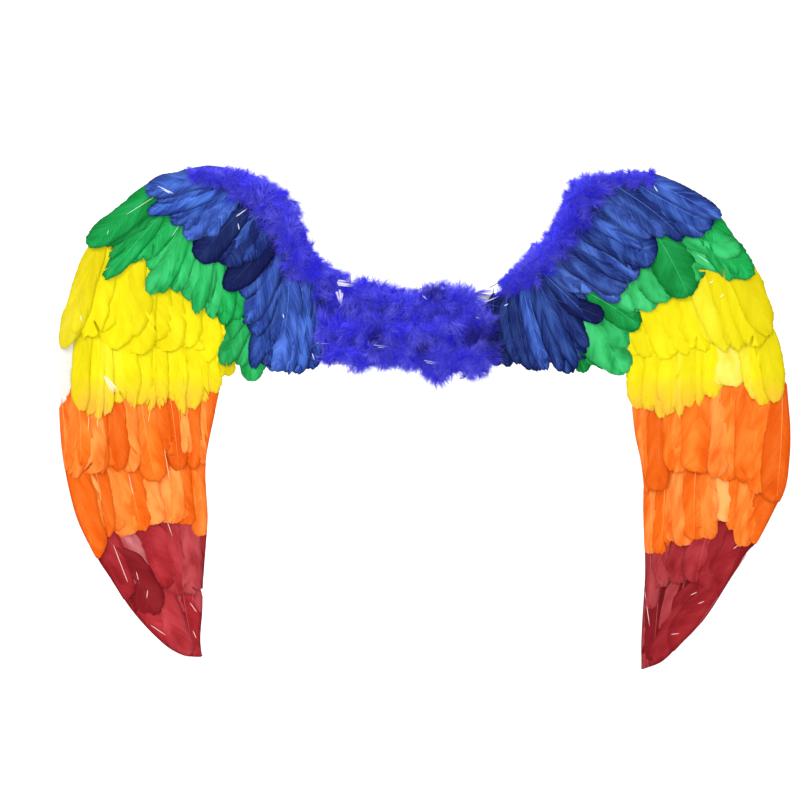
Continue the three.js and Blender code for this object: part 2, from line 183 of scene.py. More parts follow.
# Matt pasteboard: soft white pulp, a little cloudy, with short fibres that only a raking light shows.
pasteboard, tree, shader = new_material("matt_white_pasteboard")
place = add_node(tree, "TexCoord").outputs["Object"]
CLOUD_SIZE = 14 * MM
FIBRE_SIZE = 1.6 * MM
cloud = add_node(tree, "TexNoise", {"Vector": place, "Scale": 1 / CLOUD_SIZE, "Detail": 3.0})
fibre = add_node(
    tree, "TexNoise", {"Vector": place, "Scale": 1 / FIBRE_SIZE, "Detail": 2.0, "Distortion": 1.5}
)
tone = add_node(
    tree,
    "Mix",
    {0: cloud.outputs["Fac"], 6: linear("#e9e7e1"), 7: linear("#d3d0c8")},
    data_type="RGBA",
)
grain = add_node(tree, "Bump", {"Height": fibre.outputs["Fac"], "Strength": 0.25, "Distance": 0.3 * MM})
tree.links.new(tone.outputs[2], shader.inputs["Base Color"])
tree.links.new(grain.outputs["Normal"], shader.inputs["Normal"])
shader.inputs["Roughness"].default_value = 0.85
shader.inputs["Specular IOR Level"].default_value = 0.25

for side in SIDES:
    edges = along(np.array(CARDS[side]) * MM, np.linspace(0, 1, CARD_SECTIONS + 1))
    across = np.linspace(0, 1, CARD_STRIPS + 1)
    reach = edges[:, :1] + (edges[:, 2:3] - edges[:, :1]) * across
    height = edges[:, 1:2] + (edges[:, 3:4] - edges[:, 1:2]) * across
    front = on_wing(side, reach, height, 0)
    rear = on_wing(side, reach, height, -CARD_THICKNESS)
    points, faces = loft(np.concatenate([front, rear[:, ::-1]], axis=1))
    card = make_piece(f"card_{side}", points, faces, pasteboard, sharp=CARD_CREASE)
    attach(card, "root")
    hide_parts(f"wing_card_{side}")

# Each corner is a quarter turn about its own middle, and the four follow one another round the panel
turn = np.linspace(0, np.pi / 2, PANEL_CORNER_STEPS) + np.arange(4)[:, None] * np.pi / 2
right, left = PANEL_RIGHT - PANEL_CORNER, PANEL_LEFT + PANEL_CORNER
top, bottom = PANEL_TOP - PANEL_CORNER, PANEL_BOTTOM + PANEL_CORNER
x = np.array([right, left, left, right])[:, None] + PANEL_CORNER * np.cos(turn)
z = np.array([top, top, bottom, bottom])[:, None] + PANEL_CORNER * np.sin(turn)
outline = np.stack([x.ravel(), z.ravel()], axis=-1)
rings = np.stack([np.insert(outline, 1, y, axis=1) for y in (-CARD_THICKNESS, 0)])
points, faces = loft(rings)
panel = make_piece("panel", points, faces, pasteboard, sharp=CARD_CREASE)
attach(panel, "root")
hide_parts("centre_panel")

# Shoulder loops
# Each loop is a length of white woven elastic, 20 mm wide, sewn to the panel's rear at both ends.
# The weave has ribs along the tape and a fine crossed filling; its edges are turned and rounded.
STRAP_WIDTH = 20 * MM
STRAP_THICKNESS = 1.5 * MM
STRAP_PLACE = 64 * MM
STRAP_HALF_HEIGHT = 34 * MM
STRAP_DEPTH = 112 * MM
STRAP_CORNER = 14 * MM
STRAP_TAB_END = 8 * MM
STRAP_STEPS = 100
STRAP_ARC = 24
STRAP_RIBS = 9
RIB_DEPTH = 0.14
STRAP_CREASE = np.radians(60)


def strap_line(steps):
    """Points (y, z) evenly spaced on a loop's middle line, and their distances along it.

    A tab up the panel, a quarter turn, a straight, a half turn, and the same again back to the panel.
    """
    inset = SEAT_GAP + STRAP_THICKNESS / 2
    small, large = STRAP_CORNER - STRAP_THICKNESS / 2, STRAP_HALF_HEIGHT - STRAP_THICKNESS / 2
    quarter = np.linspace(np.pi, np.pi / 2, STRAP_ARC)
    half = np.linspace(np.pi / 2, 0, STRAP_ARC)
    y = np.concatenate([[inset], inset + small + small * np.cos(quarter), STRAP_DEPTH + large * np.cos(half)])
    z = np.concatenate([[STRAP_TAB_END], large - small + small * np.sin(quarter), large * np.sin(half)])
    line = np.concatenate([np.stack([y, z], axis=1), np.stack([y, -z], axis=1)[-2::-1]])
    run = np.concatenate([[0], np.cumsum(np.linalg.norm(np.diff(line, axis=0), axis=1))])
    even = np.linspace(0, run[-1], steps)
    return np.stack([np.interp(even, run, line[:, k]) for k in (0, 1)], axis=1), even


# White elastic: bright polyester over rubber, with ribs that catch a soft light along the tape.
# A wave texture repeats each 0.31 of a unit at scale 1.
PICK_PITCH = 1.4 * MM
FUZZ_SIZE = 0.8 * MM
WAVE_LENGTH = 0.31
elastic, tree, shader = new_material("white_woven_elastic")
tape = add_node(tree, "Attribute", attribute_name="tape").outputs["Vector"]
picks = add_node(tree, "TexWave", {"Vector": tape, "Scale": WAVE_LENGTH / PICK_PITCH, "Distortion": 0.6})
fuzz = add_node(tree, "TexNoise", {"Vector": tape, "Scale": 1 / FUZZ_SIZE, "Detail": 2.0})
weave = add_node(tree, "Math", {0: picks.outputs["Fac"], 1: fuzz.outputs["Fac"]}, operation="ADD")
tone = add_node(
    tree,
    "Mix",
    {0: picks.outputs["Fac"], 6: linear("#b6b6b3"), 7: linear("#e0e0dd")},
    data_type="RGBA",
)
thread = add_node(tree, "Bump", {"Height": weave.outputs[0], "Strength": 0.35, "Distance": 0.25 * MM})
tree.links.new(tone.outputs[2], shader.inputs["Base Color"])
tree.links.new(thread.outputs["Normal"], shader.inputs["Normal"])
shader.inputs["Roughness"].default_value = 0.75
shader.inputs["Sheen Weight"].default_value = 0.2

# The tape's section is a flat oval with ribs, carried along the line
line, run = strap_line(STRAP_STEPS)
heading = np.gradient(line, axis=0)
heading /= np.linalg.norm(heading, axis=1, keepdims=True)
outward = np.stack([-heading[:, 1], heading[:, 0]], axis=1)
girth = np.linspace(0, 2 * np.pi, 4 * STRAP_RIBS + 8, endpoint=False)
flat = np.sign(np.cos(girth)) * np.abs(np.cos(girth)) ** 0.35
thick = np.sign(np.sin(girth)) * np.abs(np.sin(girth)) ** 0.6
ribbing = 1 - RIB_DEPTH * (0.5 - 0.5 * np.cos(np.pi * STRAP_RIBS * (flat + 1)))
for side, sign in SIDES.items():
    x = sign * STRAP_PLACE + flat * STRAP_WIDTH / 2
    off = thick * ribbing * STRAP_THICKNESS / 2
    rings = np.empty((STRAP_STEPS, len(girth), 3))
    rings[:, :, 0] = x
    rings[:, :, 1:] = line[:, None, :] + outward[:, None, :] * off[None, :, None]
    points, faces = loft(rings)
    round_tape = np.tile(np.stack([flat * STRAP_WIDTH / 2, off], axis=1), (STRAP_STEPS, 1))
    on_tape = {"tape": np.column_stack([np.repeat(run, len(girth)), round_tape])}
    strap = make_piece(f"elastic_loop_{side}", points, faces, elastic, on_tape, sharp=STRAP_CREASE)
    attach(strap, "root")
    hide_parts(f"shoulder_strap_{side}")

# Red feathers
# Dyed goose feathers, glued by their roots to the card in two overlapping rows, start each wing at its tip.
# Each is a stiff tapered shaft with a vane of barbs on both sides. These are cut off along the wing's edge.
FEATHER_LIFT = 0.7 * MM
UNDER_LIFT = 0.2  # of the shorter feathers under a row, in mm
UNDER_SHORTER = (0.06, 0.16)  # share of the length that they lack
ROOT_BACK = 9 * MM  # how far a root reaches up under the next row
VANE_THICKNESS = 0.3 * MM
VANE_FOOT, VANE_SHOULDER = 0.4, 0.35  # width at the root, and share of the length where it is full
FIRST_BARB, LAST_BARB = 0.02, 0.985
BARB_SWEEP = 0.28
FINE_GRID = (42, 9)  # barbs, and points from edge to edge
UNDER_GRID = (22, 7)
# Shares of a feather's width, or of its half width for the edge
FEATHER_CAMBER = 0.04
FEATHER_ROLL = 0.035
FEATHER_RIPPLE = 0.01
EDGE_WAVE, EDGE_NICK = 0.05, 0.02
# Shares of its length. It is level at the root, and its camber is full where it has settled
FEATHER_BEND = 0.02
FEATHER_CURL = 0.006
SETTLED = 0.3
SPLIT_GAP = 0.014
CLUMP_REACH = 0.01
CLUMP = 3  # barbs that cling together at the tip
WHOLE_DEPTH, WHOLE_WIDTH = 0.8, 26  # depth of dye, and width in mm, past which a feather has no splits
SHAFT_RADIUS = 0.42 * MM
SHAFT_START, SHAFT_END, SHAFT_TAPER = -0.03, 0.95, 0.85
SHAFT_STEPS = 12
SHAFT_SIDES = 5
SHAFT_TONES, SHAFT_CHANCES = (0.25, 0.9), (0.75, 0.25)  # most shafts took the dye, and some stayed pale
QUILL_TAPER = (0.5, 1, 1, 1, 0.3)
QUILL_COVER, QUILL_CLEAR = 0.6, 0.5  # share of a feather's width under a bare quill, and mm between them
# The darker tip, the darker margin at a cut edge and the darker vane edges are partly dye and partly painted
# shade, where one feather lies over the next and along the card's edge.
TIP_RIM = 0.9  # share of the length where the darker tip starts
CUT_SHADE = 4 * MM  # a cut edge is darker, up to this far from it
CUT_RIM = 2  # how much darker than a vane's own edge
DYE_VARIES = 0.06
SEED_RANGE = 90

# Where the feathers of the lower wing are cut: outer reach and height, inner reach and height, in mm
CUT_EDGES = {
    "left": [
        (355, -40, 195, -40),
        (355, -85, 204, -84),
        (351, -130, 213, -135),
        (340, -181, 211, -185),
        (322, -221, 213, -212),
        (304, -250, 216, -252),
        (284, -281, 217, -280),
        (256, -311, 219, -305),
        (236, -323, 218, -320),
        (219, -325, 217, -324),
    ],
    "right": [
        (356, -45, 204, -45),
        (360, -98, 209, -100),
        (359, -130, 215, -130),
        (355, -157, 218, -156),
        (345, -179, 218, -180),
        (329, -210, 219, -210),
        (319, -221, 220, -222),
        (301, -251, 220, -251),
        (279, -286, 218, -287),
        (256, -311, 217, -312),
        (238, -329, 217, -328),
        (219, -337, 217, -337),
    ],
}

# Root reach and height, tip reach and height, width, in mm; how deep and how washed out the dye is; and how
# much higher than its row a feather lies, in mm
RED_FEATHERS = {
    ("left", "lower"): [
        (292, -243, 250, -318, 30, 0.15, 0, 0),
        (268, -238, 236, -328, 28, 0, 0.05, 0.3),
        (250, -245, 232, -330, 22, 0, 0.2, 0),
        (237, -248, 223, -334, 22, 0.2, 0, 0.4),
        (226, -250, 217, -332, 18, 0.1, 0.1, 0),
    ],
    ("left", "upper"): [
        (318, -193, 292, -268, 28, 0.15, 0, 0),
        (292, -204, 279, -252, 20, 0, 0.6, 0),
        (302, -222, 262, -283, 26, 0.75, 0, 1.2),
        (270, -196, 254, -257, 34, 0.1, 0, 0.4),
        (250, -184, 240, -264, 20, 0.1, 0.05, 0),
        (235, -184, 227, -263, 20, 0, 0.15, 0.3),
        (222, -192, 219, -258, 18, 0.1, 0, 0),
    ],
    ("right", "lower"): [
        (312, -233, 252, -322, 34, 0.42, 0, 0.5),
        (276, -250, 232, -340, 28, 0.45, 0, 0.3),
        (262, -243, 238, -318, 28, 1, 0, 0),
        (252, -250, 240, -304, 14, 0.2, 0.15, 0.8),
        (235, -240, 228, -330, 20, 0.8, 0, 0.2),
        (222, -250, 220, -346, 16, 0.2, 0.12, 0.6),
    ],
    ("right", "upper"): [
        (322, -193, 292, -266, 30, 0.4, 0, 0.4),
        (300, -190, 282, -260, 24, 0.5, 0, 0),
        (283, -190, 269, -251, 26, 0.3, 0.03, 0.6),
        (262, -192, 251, -253, 22, 0.35, 0.04, 0.2),
        (242, -190, 238, -256, 15, 0.2, 0.12, 0.5),
        (225, -205, 226, -278, 14, 0.3, 0.1, 0.2),
    ],
}
# Bare white shaft that shows, partly real quills and partly painted glints, from reach and height to reach
# and height, in mm
RED_QUILLS = {
    ("left", "lower"): [(229, -271, 222, -281), (226, -299, 223, -306), (267, -293, 253, -303)],
    ("left", "upper"): [
        (303, -213, 288, -254),
        (254, -180, 246, -205),
        (281, -240, 279, -248),
        (270, -258, 271, -266),
    ],
    ("right", "lower"): [
        (265, -263, 271, -260),
        (271, -272, 278, -269),
        (246, -302, 254, -301),
        (220, -260, 225, -294),
    ],
    ("right", "upper"): [(306, -217, 311, -213)],
}
# In each dye, the light tone is painted highlight and the dark tone painted shade. The rim share darkens vane
# edges, partly as dye and partly as painted shade.
RED_DYE = {
    "light": "#bd3a40",
    "middle": "#a4242b",
    "dark": "#841319",
    "deepest": "#640a12",
    "washed": "#c88488",
    "shaft": "#c65a60",
    "quill_glint": "#f0c8c6",
    "rim_dye_and_shade": 0.4,
    "streak": 0.5,
}
# How a row's feathers are shaped: width to cover their neighbours, where the tip starts to round, slope off
# the card, splits and frayed places to a feather, radius of a bare quill in mm, and whether they are cut
# along the wing's edge
RED_HABIT = {
    "spread": 1.3,
    "round_from": (0.7, 0.85),
    "slope": 0.045,
    "splits": 0.2,
    "fray": 0.3,
    "quill": 0.4,
    "cut": True,
}


def unit(vectors):
    """Vectors of length 1 in the same directions."""
    return vectors / np.linalg.norm(vectors, axis=-1, keepdims=True)


def vane_outline(q, round_from, blunt):
    """Half width of a vane, as a share of its widest, at share q of its length.

    (foot + (1 - foot) ease(q / shoulder)) sqrt(1 - r^blunt), where r runs from 0, at the share where the tip
    starts to round, to 1 at the tip.
    """
    rise = np.clip(q / VANE_SHOULDER, 0, 1)
    r = np.clip((q - round_from) / (1 - round_from), 0, 1)
    return (VANE_FOOT + (1 - VANE_FOOT) * rise**2 * (3 - 2 * rise)) * np.sqrt(np.maximum(1 - r**blunt, 0))


def cut_off(side, spots):
    """Moves the points outside the cut edge to the nearest place on it, and tells which were moved.

    Also gives each point's closeness to the edge: 1 on it, down to 0 at the width of the shaded margin.
    """
    edges = along(np.array(CUT_EDGES[side]) * MM, np.linspace(0, 1, CARD_SECTIONS + 1))
    ring = np.concatenate([edges[:, :2], edges[::-1, 2:]])
    following = np.roll(ring, -1, axis=0)
    step = following - ring
    flat = spots.reshape(-1, 1, 2)
    share = np.clip(((flat - ring) * step).sum(axis=-1) / (step**2).sum(axis=-1), 0, 1)
    near = ring + share[..., None] * step
    away = np.linalg.norm(flat - near, axis=-1)
    best = away.argmin(axis=1)
    near = near[np.arange(len(best)), best]
    spans = (ring[:, 1] > flat[..., 1]) != (following[:, 1] > flat[..., 1])
    rise = np.where(step[:, 1] == 0, 1, step[:, 1])
    crossing = ring[:, 0] + (flat[..., 1] - ring[:, 1]) / rise * step[:, 0]
    outside = (spans & (flat[..., 0] < crossing)).sum(axis=1) % 2 == 0
    close = np.where(outside, 1, np.clip(1 - away.min(axis=1) / CUT_SHADE, 0, 1))
    moved = np.where(outside[:, None], near, flat[:, 0]).reshape(spots.shape)
    return moved, outside.reshape(spots.shape[:-1]), close.reshape(spots.shape[:-1])


def feather(side, ends, width, habit, root_lift, grid, whole, rng):
    """One feather as points, faces and marks: distance along the barb's foot, share across, rim and shaft.

    Row s of the vane's grid is the barb that leaves the shaft at share s, and column u runs along it from
    edge to edge. The barb ends at share s + sweep (1 - s^3) of the length, less at the root, where the
    outline gives its reach. Near the tip the barbs end in clumps, some longer than others.
    Lift = root + slope x distance + curl q^2 - (camber u^1.6 + roll u) x q / 0.3, and a ripple between barbs.
    """
    barbs, columns = grid
    root, tip = ends[:2], ends[2:]
    length = np.linalg.norm(tip - root)
    axis = (tip - root) / length
    sideways = np.array([-axis[1], axis[0]])
    s = np.linspace(FIRST_BARB, LAST_BARB, barbs)
    u = np.linspace(-1, 1, columns)
    out = np.abs(u)
    end = s + BARB_SWEEP * (1 - s**3) * np.minimum(0.3 + 4 * s, 1)

    # Wavy edges, with the barbs in clumps
    ragged = np.ones((barbs, columns))
    share = s[:, None] + (end - s)[:, None] * out**1.2
    loose = CLUMP_REACH * (0.4 + habit["fray"] * (not whole))
    for half in (-1, 1):
        waves = np.interp(s, np.linspace(0, 1, 9), rng.normal(0, EDGE_WAVE, 9))
        waves += rng.normal(0, EDGE_NICK, barbs)
        ragged += np.outer(waves, (u * half > 0) * out**2)
        clumps = np.repeat(rng.normal(0, loose, barbs // CLUMP + 1), CLUMP)[:barbs]
        share += np.outer(clumps * np.clip(2 * s - 0.8, 0, 1), (u * half > 0) * out**3)
    outline = vane_outline(end, rng.uniform(*habit["round_from"]), rng.uniform(1.3, 2.6))
    across = np.sign(u) * out * (0.5 * width * outline)[:, None] * ragged

    # Splits between two barbs, which open to the edge, and more of them near a frayed tip
    keep = np.ones((barbs - 1, columns - 1), bool)
    middle = (u[1:] + u[:-1]) / 2
    each = np.arange(barbs)
    for lowest, count, gape in ((0.33, habit["splits"], 1.0), (0.75, 0.4 * habit["fray"], 0.8)):
        for _ in range(0 if whole else rng.poisson(count)):
            barb, half = rng.integers(int(lowest * barbs), barbs - 3), rng.choice([-1, 1])
            start = rng.uniform(0.1, 0.5)
            apart = np.where(each <= barb, -1, 1) * np.exp(-np.abs(each - barb - 0.5) / 3)
            opening = np.clip((out - start) / (1 - start), 0, 1) * (u * half > 0)
            share += SPLIT_GAP * gape * rng.uniform(0.4, 1.2) * np.outer(apart, opening)
            keep[barb, (middle * half) > start] = False

    bend = rng.normal(0, FEATHER_BEND) * length
    curl = rng.normal(0, FEATHER_CURL) * length
    roll = FEATHER_ROLL * width * rng.uniform(0.7, 1.3)
    ripple = np.interp(s, np.linspace(0, 1, 13), rng.normal(0, FEATHER_RIPPLE * width, 13))
    settled = np.clip(share / SETTLED, 0, 1)
    distance = share * length
    across = across + bend * np.sin(np.pi * share)
    lift = root_lift + habit["slope"] * distance + curl * share**2
    lift = lift - (FEATHER_CAMBER * width * out**1.6 + roll * u - np.outer(ripple, out)) * settled

    def spread_out(distance, across):
        spots = root + distance[..., None] * axis + across[..., None] * sideways
        uncut = np.zeros(spots.shape[:-1], bool)
        return cut_off(side, spots) if habit["cut"] else (spots, uncut, uncut)

    def placed(spots, lift):
        return on_wing(side, spots[..., 0], spots[..., 1], lift).reshape(-1, 3)

    spots, cut, margin = spread_out(distance, across)
    keep &= ~(cut[:-1, :-1] & cut[:-1, 1:] & cut[1:, 1:] & cut[1:, :-1])
    index = np.arange(barbs * columns).reshape(barbs, columns)
    quads = np.stack([index[:-1, :-1], index[:-1, 1:], index[1:, 1:], index[1:, :-1]], axis=-1)[keep]
    top = placed(spots, lift)
    normals = np.cross(top[quads[:, 2]] - top[quads[:, 0]], top[quads[:, 3]] - top[quads[:, 1]])
    if normals[:, 1].sum() > 0:
        quads = quads[:, ::-1]
    points, faces = thick_sheet(top, placed(spots, lift - VANE_THICKNESS), quads)
    # Partly dye and partly painted shade: darker toward each vane's edges, its tip and a cut edge
    at_tip = np.clip((s - TIP_RIM) / (LAST_BARB - TIP_RIM), 0, 1)[:, None] ** 2
    rim_dye_and_shade = np.maximum(np.maximum(out**4, CUT_RIM * margin), at_tip)
    marks = np.stack(
        [np.repeat(s * length, columns), np.tile(u, barbs), rim_dye_and_shade.ravel(), np.zeros(index.size)], axis=1
    )
    used, corners = np.unique(faces, return_inverse=True)
    vane = (points[used], [corners.reshape(faces.shape)], np.concatenate([marks, marks])[used])

    # The shaft ends where the feather is cut
    q = np.linspace(SHAFT_START, SHAFT_END, 40)
    off_card = spread_out(q * length, bend * np.sin(np.pi * q))[1]
    last = q[~off_card].max() if (~off_card).any() else 0.2
    q = np.linspace(SHAFT_START, last, SHAFT_STEPS)
    radius = (SHAFT_RADIUS * (1 - SHAFT_TAPER * np.clip(q, 0, 1)))[:, None]
    spine = (root_lift + habit["slope"] * q * length + curl * np.maximum(q, 0) ** 2)[:, None]
    girth = np.linspace(0, 2 * np.pi, SHAFT_SIDES, endpoint=False)
    along_shaft = np.repeat(q[:, None] * length, SHAFT_SIDES, axis=1)
    beside_shaft = bend * np.sin(np.pi * q)[:, None] + radius * np.cos(girth)
    spots = root + along_shaft[..., None] * axis + beside_shaft[..., None] * sideways
    ring = placed(spots, spine + radius * np.sin(girth))
    shaft_points, shaft_faces = loft(ring.reshape(SHAFT_STEPS, SHAFT_SIDES, 3))
    shaft_marks = np.zeros((len(ring), 4))
    shaft_marks[:, 0] = np.repeat(q * length, SHAFT_SIDES)
    shaft_marks[:, 3] = rng.choice(SHAFT_TONES, p=SHAFT_CHANCES)
    return gathered([vane, (shaft_points, shaft_faces, shaft_marks)])


def thick_sheet(top, bottom, faces):
    """Closes a sheet of quads: its top, its bottom turned over, and a wall along every free edge."""
    n = len(top)
    edges = np.stack([faces, np.roll(faces, -1, axis=1)], axis=2).reshape(-1, 2)
    free = edges[~np.isin(edges[:, 0] * n + edges[:, 1], edges[:, 1] * n + edges[:, 0])]
    wall = np.stack([free[:, 1], free[:, 0], free[:, 0] + n, free[:, 1] + n], axis=1)
    return np.concatenate([top, bottom]), np.concatenate([faces, faces[:, ::-1] + n, wall])


def gathered(parts):
    """Several (points, faces, marks) as one: points and marks end to end, and faces grouped by corners."""
    starts = np.cumsum([0] + [len(points) for points, _, _ in parts[:-1]])
    groups = {}
    for start, (_, faces, _) in zip(starts, parts):
        for group in faces:
            groups.setdefault(group.shape[1], []).append(group + start)
    points = np.concatenate([part[0] for part in parts])
    marks = np.concatenate([part[2] for part in parts])
    return points, [np.concatenate(group) for group in groups.values()], marks


def dyed_goose_feather(name, dye):
    """Satin vane: its barbs lie side by side like threads, so colour and light run in fine streaks from the
    shaft to the edge, over longer streaks down the feather. The barbs are drawn twice too coarse, to show.
    Noise lies about 0.5: above that it paints highlight on the vane, and below it paints shade. It does so in
    broad patches, and in fine streaks along the barbs' bumps, where the barbs' own tone varies too. The side
    of the vane at positive share across has painted shade. Deep dye hides light streaks.
    Worn tips, from one height down to another in mm, take on some of the colour of the row below."""
    streak_size = 1.6 * MM
    patch_size = 24 * MM
    material, tree, shader = new_material(name)
    vane = add_node(tree, "Attribute", attribute_name="vane").outputs["Vector"]
    dip_and_shade = add_node(tree, "Attribute", attribute_name="dip_and_shade").outputs["Vector"]
    quill = add_node(tree, "Attribute", attribute_name="quill").outputs["Vector"]
    vane_x, vane_u, seed = add_node(tree, "SeparateXYZ", {0: vane}).outputs
    depth, wash, rim_dye_and_shade = add_node(tree, "SeparateXYZ", {0: dip_and_shade}).outputs
    is_shaft, is_quill_glint, _ = add_node(tree, "SeparateXYZ", {0: quill}).outputs
    by_streak = add_node(tree, "Math", {0: vane_x, 1: 1 / streak_size}, operation="MULTIPLY").outputs[0]
    by_patch = add_node(tree, "Math", {0: vane_x, 1: 1 / patch_size}, operation="MULTIPLY").outputs[0]
    streak_place = add_node(tree, "CombineXYZ", {0: by_streak, 1: vane_u, 2: seed}).outputs[0]
    patch_place = add_node(tree, "CombineXYZ", {0: by_patch, 1: vane_u, 2: seed}).outputs[0]
    streak = add_node(
        tree, "TexNoise", {"Vector": streak_place, "Scale": 0.8, "Detail": 4.0, "Roughness": 0.65}
    ).outputs["Fac"]
    patch = add_node(tree, "TexNoise", {"Vector": patch_place, "Scale": 1.0, "Detail": 2.0}).outputs["Fac"]
    # Painted highlight and painted shade in broad patches, and in fine light streaks and dark grooves along
    # the barbs, partly the barbs' own tone
    lit = add_node(tree, "MapRange", {0: patch, 1: 0.46, 2: 0.7, 3: 0.0, 4: 0.95}).outputs[0]
    fold_shade = add_node(tree, "MapRange", {0: patch, 1: 0.46, 2: 0.28, 3: 0.0, 4: 0.9}).outputs[0]
    calm = add_node(tree, "MapRange", {0: depth, 3: dye["streak"], 4: 0.1 * dye["streak"]}).outputs[0]
    fine = add_node(tree, "MapRange", {0: streak, 1: 0.5, 2: 0.78, 3: 0.0, 4: calm}).outputs[0]
    groove_shade = add_node(tree, "MapRange", {0: streak, 1: 0.46, 2: 0.3, 3: 0.0, 4: dye["streak"]}).outputs[0]
    # Darker edges: partly dye, partly painted shade
    edge = add_node(tree, "Math", {0: rim_dye_and_shade, 1: dye["rim_dye_and_shade"]}, operation="MULTIPLY").outputs[0]
    # Painted shade: the side of the vane at positive share across is darker
    lee_shade = add_node(tree, "MapRange", {0: vane_u, 1: -0.1, 2: 0.7, 3: 0.0, 4: 0.35}).outputs[0]
    uneven = add_node(tree, "MapRange", {0: patch, 1: 0.3, 2: 0.62, 3: 0.25, 4: 1.15}).outputs[0]
    washing = add_node(tree, "Math", {0: wash, 1: uneven}, operation="MULTIPLY", use_clamp=True).outputs[0]
    layers = [
        (lit, "light"),
        (fold_shade, "dark"),
        (lee_shade, "dark"),
        (depth, "deepest"),
        (fine, "light"),
        (groove_shade, "dark"),
        (edge, "deepest"),
        (washing, "washed"),
        (is_shaft, "shaft"),
        # Pale quill tone: partly real pale quills, partly painted glints
        (is_quill_glint, "quill_glint"),
    ]
    if "worn" in dye:
        place = add_node(tree, "TexCoord").outputs["Object"]
        height = add_node(tree, "SeparateXYZ", {0: place}).outputs[2]
        top, tip = dye["worn_between"]
        thin = add_node(tree, "MapRange", {0: height, 1: top * MM, 2: tip * MM}).outputs[0]
        worn = add_node(tree, "Math", {0: thin, 1: uneven}, operation="MULTIPLY", use_clamp=True).outputs[0]
        layers.insert(5, (worn, "worn"))
    colour = linear(dye["middle"])
    for part, shade in layers:
        mixed = add_node(tree, "Mix", {0: part, 6: colour, 7: linear(dye[shade])}, data_type="RGBA")
        colour = mixed.outputs[2]
    barb_lines = add_node(tree, "Bump", {"Height": streak, "Strength": 0.35, "Distance": 0.4 * MM})
    tree.links.new(colour, shader.inputs["Base Color"])
    tree.links.new(barb_lines.outputs["Normal"], shader.inputs["Normal"])
    shader.inputs["Roughness"].default_value = 0.5
    shader.inputs["Specular IOR Level"].default_value = 0.05
    return material


def bare_quill(side, ends, feathers, habit):
    """A length of white shaft that lies on top of a row's feathers, from end to end: partly a real quill,
    partly a painted glint.
    """
    spots = ends[:2] + np.linspace(0, 1, len(QUILL_TAPER))[:, None] * (ends[2:] - ends[:2])
    axes = unit(feathers[:, 2:4] - feathers[:, :2])
    away = spots[:, None] - feathers[:, :2]
    forward = (away * axes).sum(axis=-1)
    beside = np.abs(away[..., 1] * axes[:, 0] - away[..., 0] * axes[:, 1])
    reached = np.linalg.norm(feathers[:, 2:4] - feathers[:, :2], axis=1)
    covers = (beside < QUILL_COVER * feathers[:, 4]) & (forward > 0) & (forward < reached)
    highest = np.where(covers, feathers[:, 7] + habit["slope"] * forward, 0).max()
    lift = FEATHER_LIFT + (highest + QUILL_CLEAR) * MM
    girth = np.linspace(0, 2 * np.pi, SHAFT_SIDES, endpoint=False)
    across = unit(np.array([ends[1] - ends[3], ends[2] - ends[0]]))
    thin = habit["quill"] * MM * np.array(QUILL_TAPER)[:, None]
    rings = spots[:, None] * MM + (thin * np.cos(girth))[..., None] * across
    points, faces = loft(on_wing(side, rings[..., 0], rings[..., 1], lift + thin * np.sin(girth)))
    marks = np.tile([0.0, 0.0, 0.0, 2.0], (len(points), 1))
    return points, faces, marks


def lay_rows(dye, rows, quills, habit, material, rng):
    """Makes one dye's rows: each listed feather, a shorter one under each pair of neighbours, and quills."""
    for (side, row), listed in rows.items():
        over = np.array(listed, float)
        under = (over[1:] + over[:-1]) / 2
        under[:, 2:4] += (under[:, :2] - under[:, 2:4]) * rng.uniform(*UNDER_SHORTER, (len(under), 1))
        under[:, 7] = -FEATHER_LIFT / MM + UNDER_LIFT
        parts, traits = [], []
        for feathers, grid in ((under, UNDER_GRID), (over, FINE_GRID)):
            for i, (*places, wide, depth, wash, higher) in enumerate(feathers):
                ends = np.array(places) * MM
                ends[:2] += ROOT_BACK * unit(ends[:2] - ends[2:])
                whole = i in (0, len(feathers) - 1) or depth > WHOLE_DEPTH or wide > WHOLE_WIDTH
                lift = FEATHER_LIFT + higher * MM
                parts.append(feather(side, ends, wide * MM * habit["spread"], habit, lift, grid, whole, rng))
                depth = min(1, depth + abs(rng.normal(0, DYE_VARIES)))
                traits.append(np.tile([depth, wash, rng.uniform(0, SEED_RANGE)], (len(parts[-1][0]), 1)))
        for ends in quills.get((side, row), []):
            parts.append(bare_quill(side, np.array(ends, float), over, habit))
            traits.append(np.zeros((len(parts[-1][0]), 3)))
        points, faces, marks = gathered(parts)
        traits = np.concatenate(traits)
        attributes = {
            "vane": np.column_stack([marks[:, 0], marks[:, 1], traits[:, 2]]),
            "dip_and_shade": np.column_stack([traits[:, 0], traits[:, 1], marks[:, 2]]),
            "quill": np.column_stack([marks[:, 3] % 2, marks[:, 3] // 2, marks[:, 3]]),
        }
        group = f"{dye}_{row}" if row else dye
        piece = make_piece(f"{group}_plumage_{side}", points, faces, material, attributes)
        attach(piece, "root")
        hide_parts(f"{group}_feathers_{side}")


red_feather = dyed_goose_feather("red_dyed_goose_feather", RED_DYE)
lay_rows("red", RED_FEATHERS, RED_QUILLS, RED_HABIT, red_feather, np.random.default_rng(11))

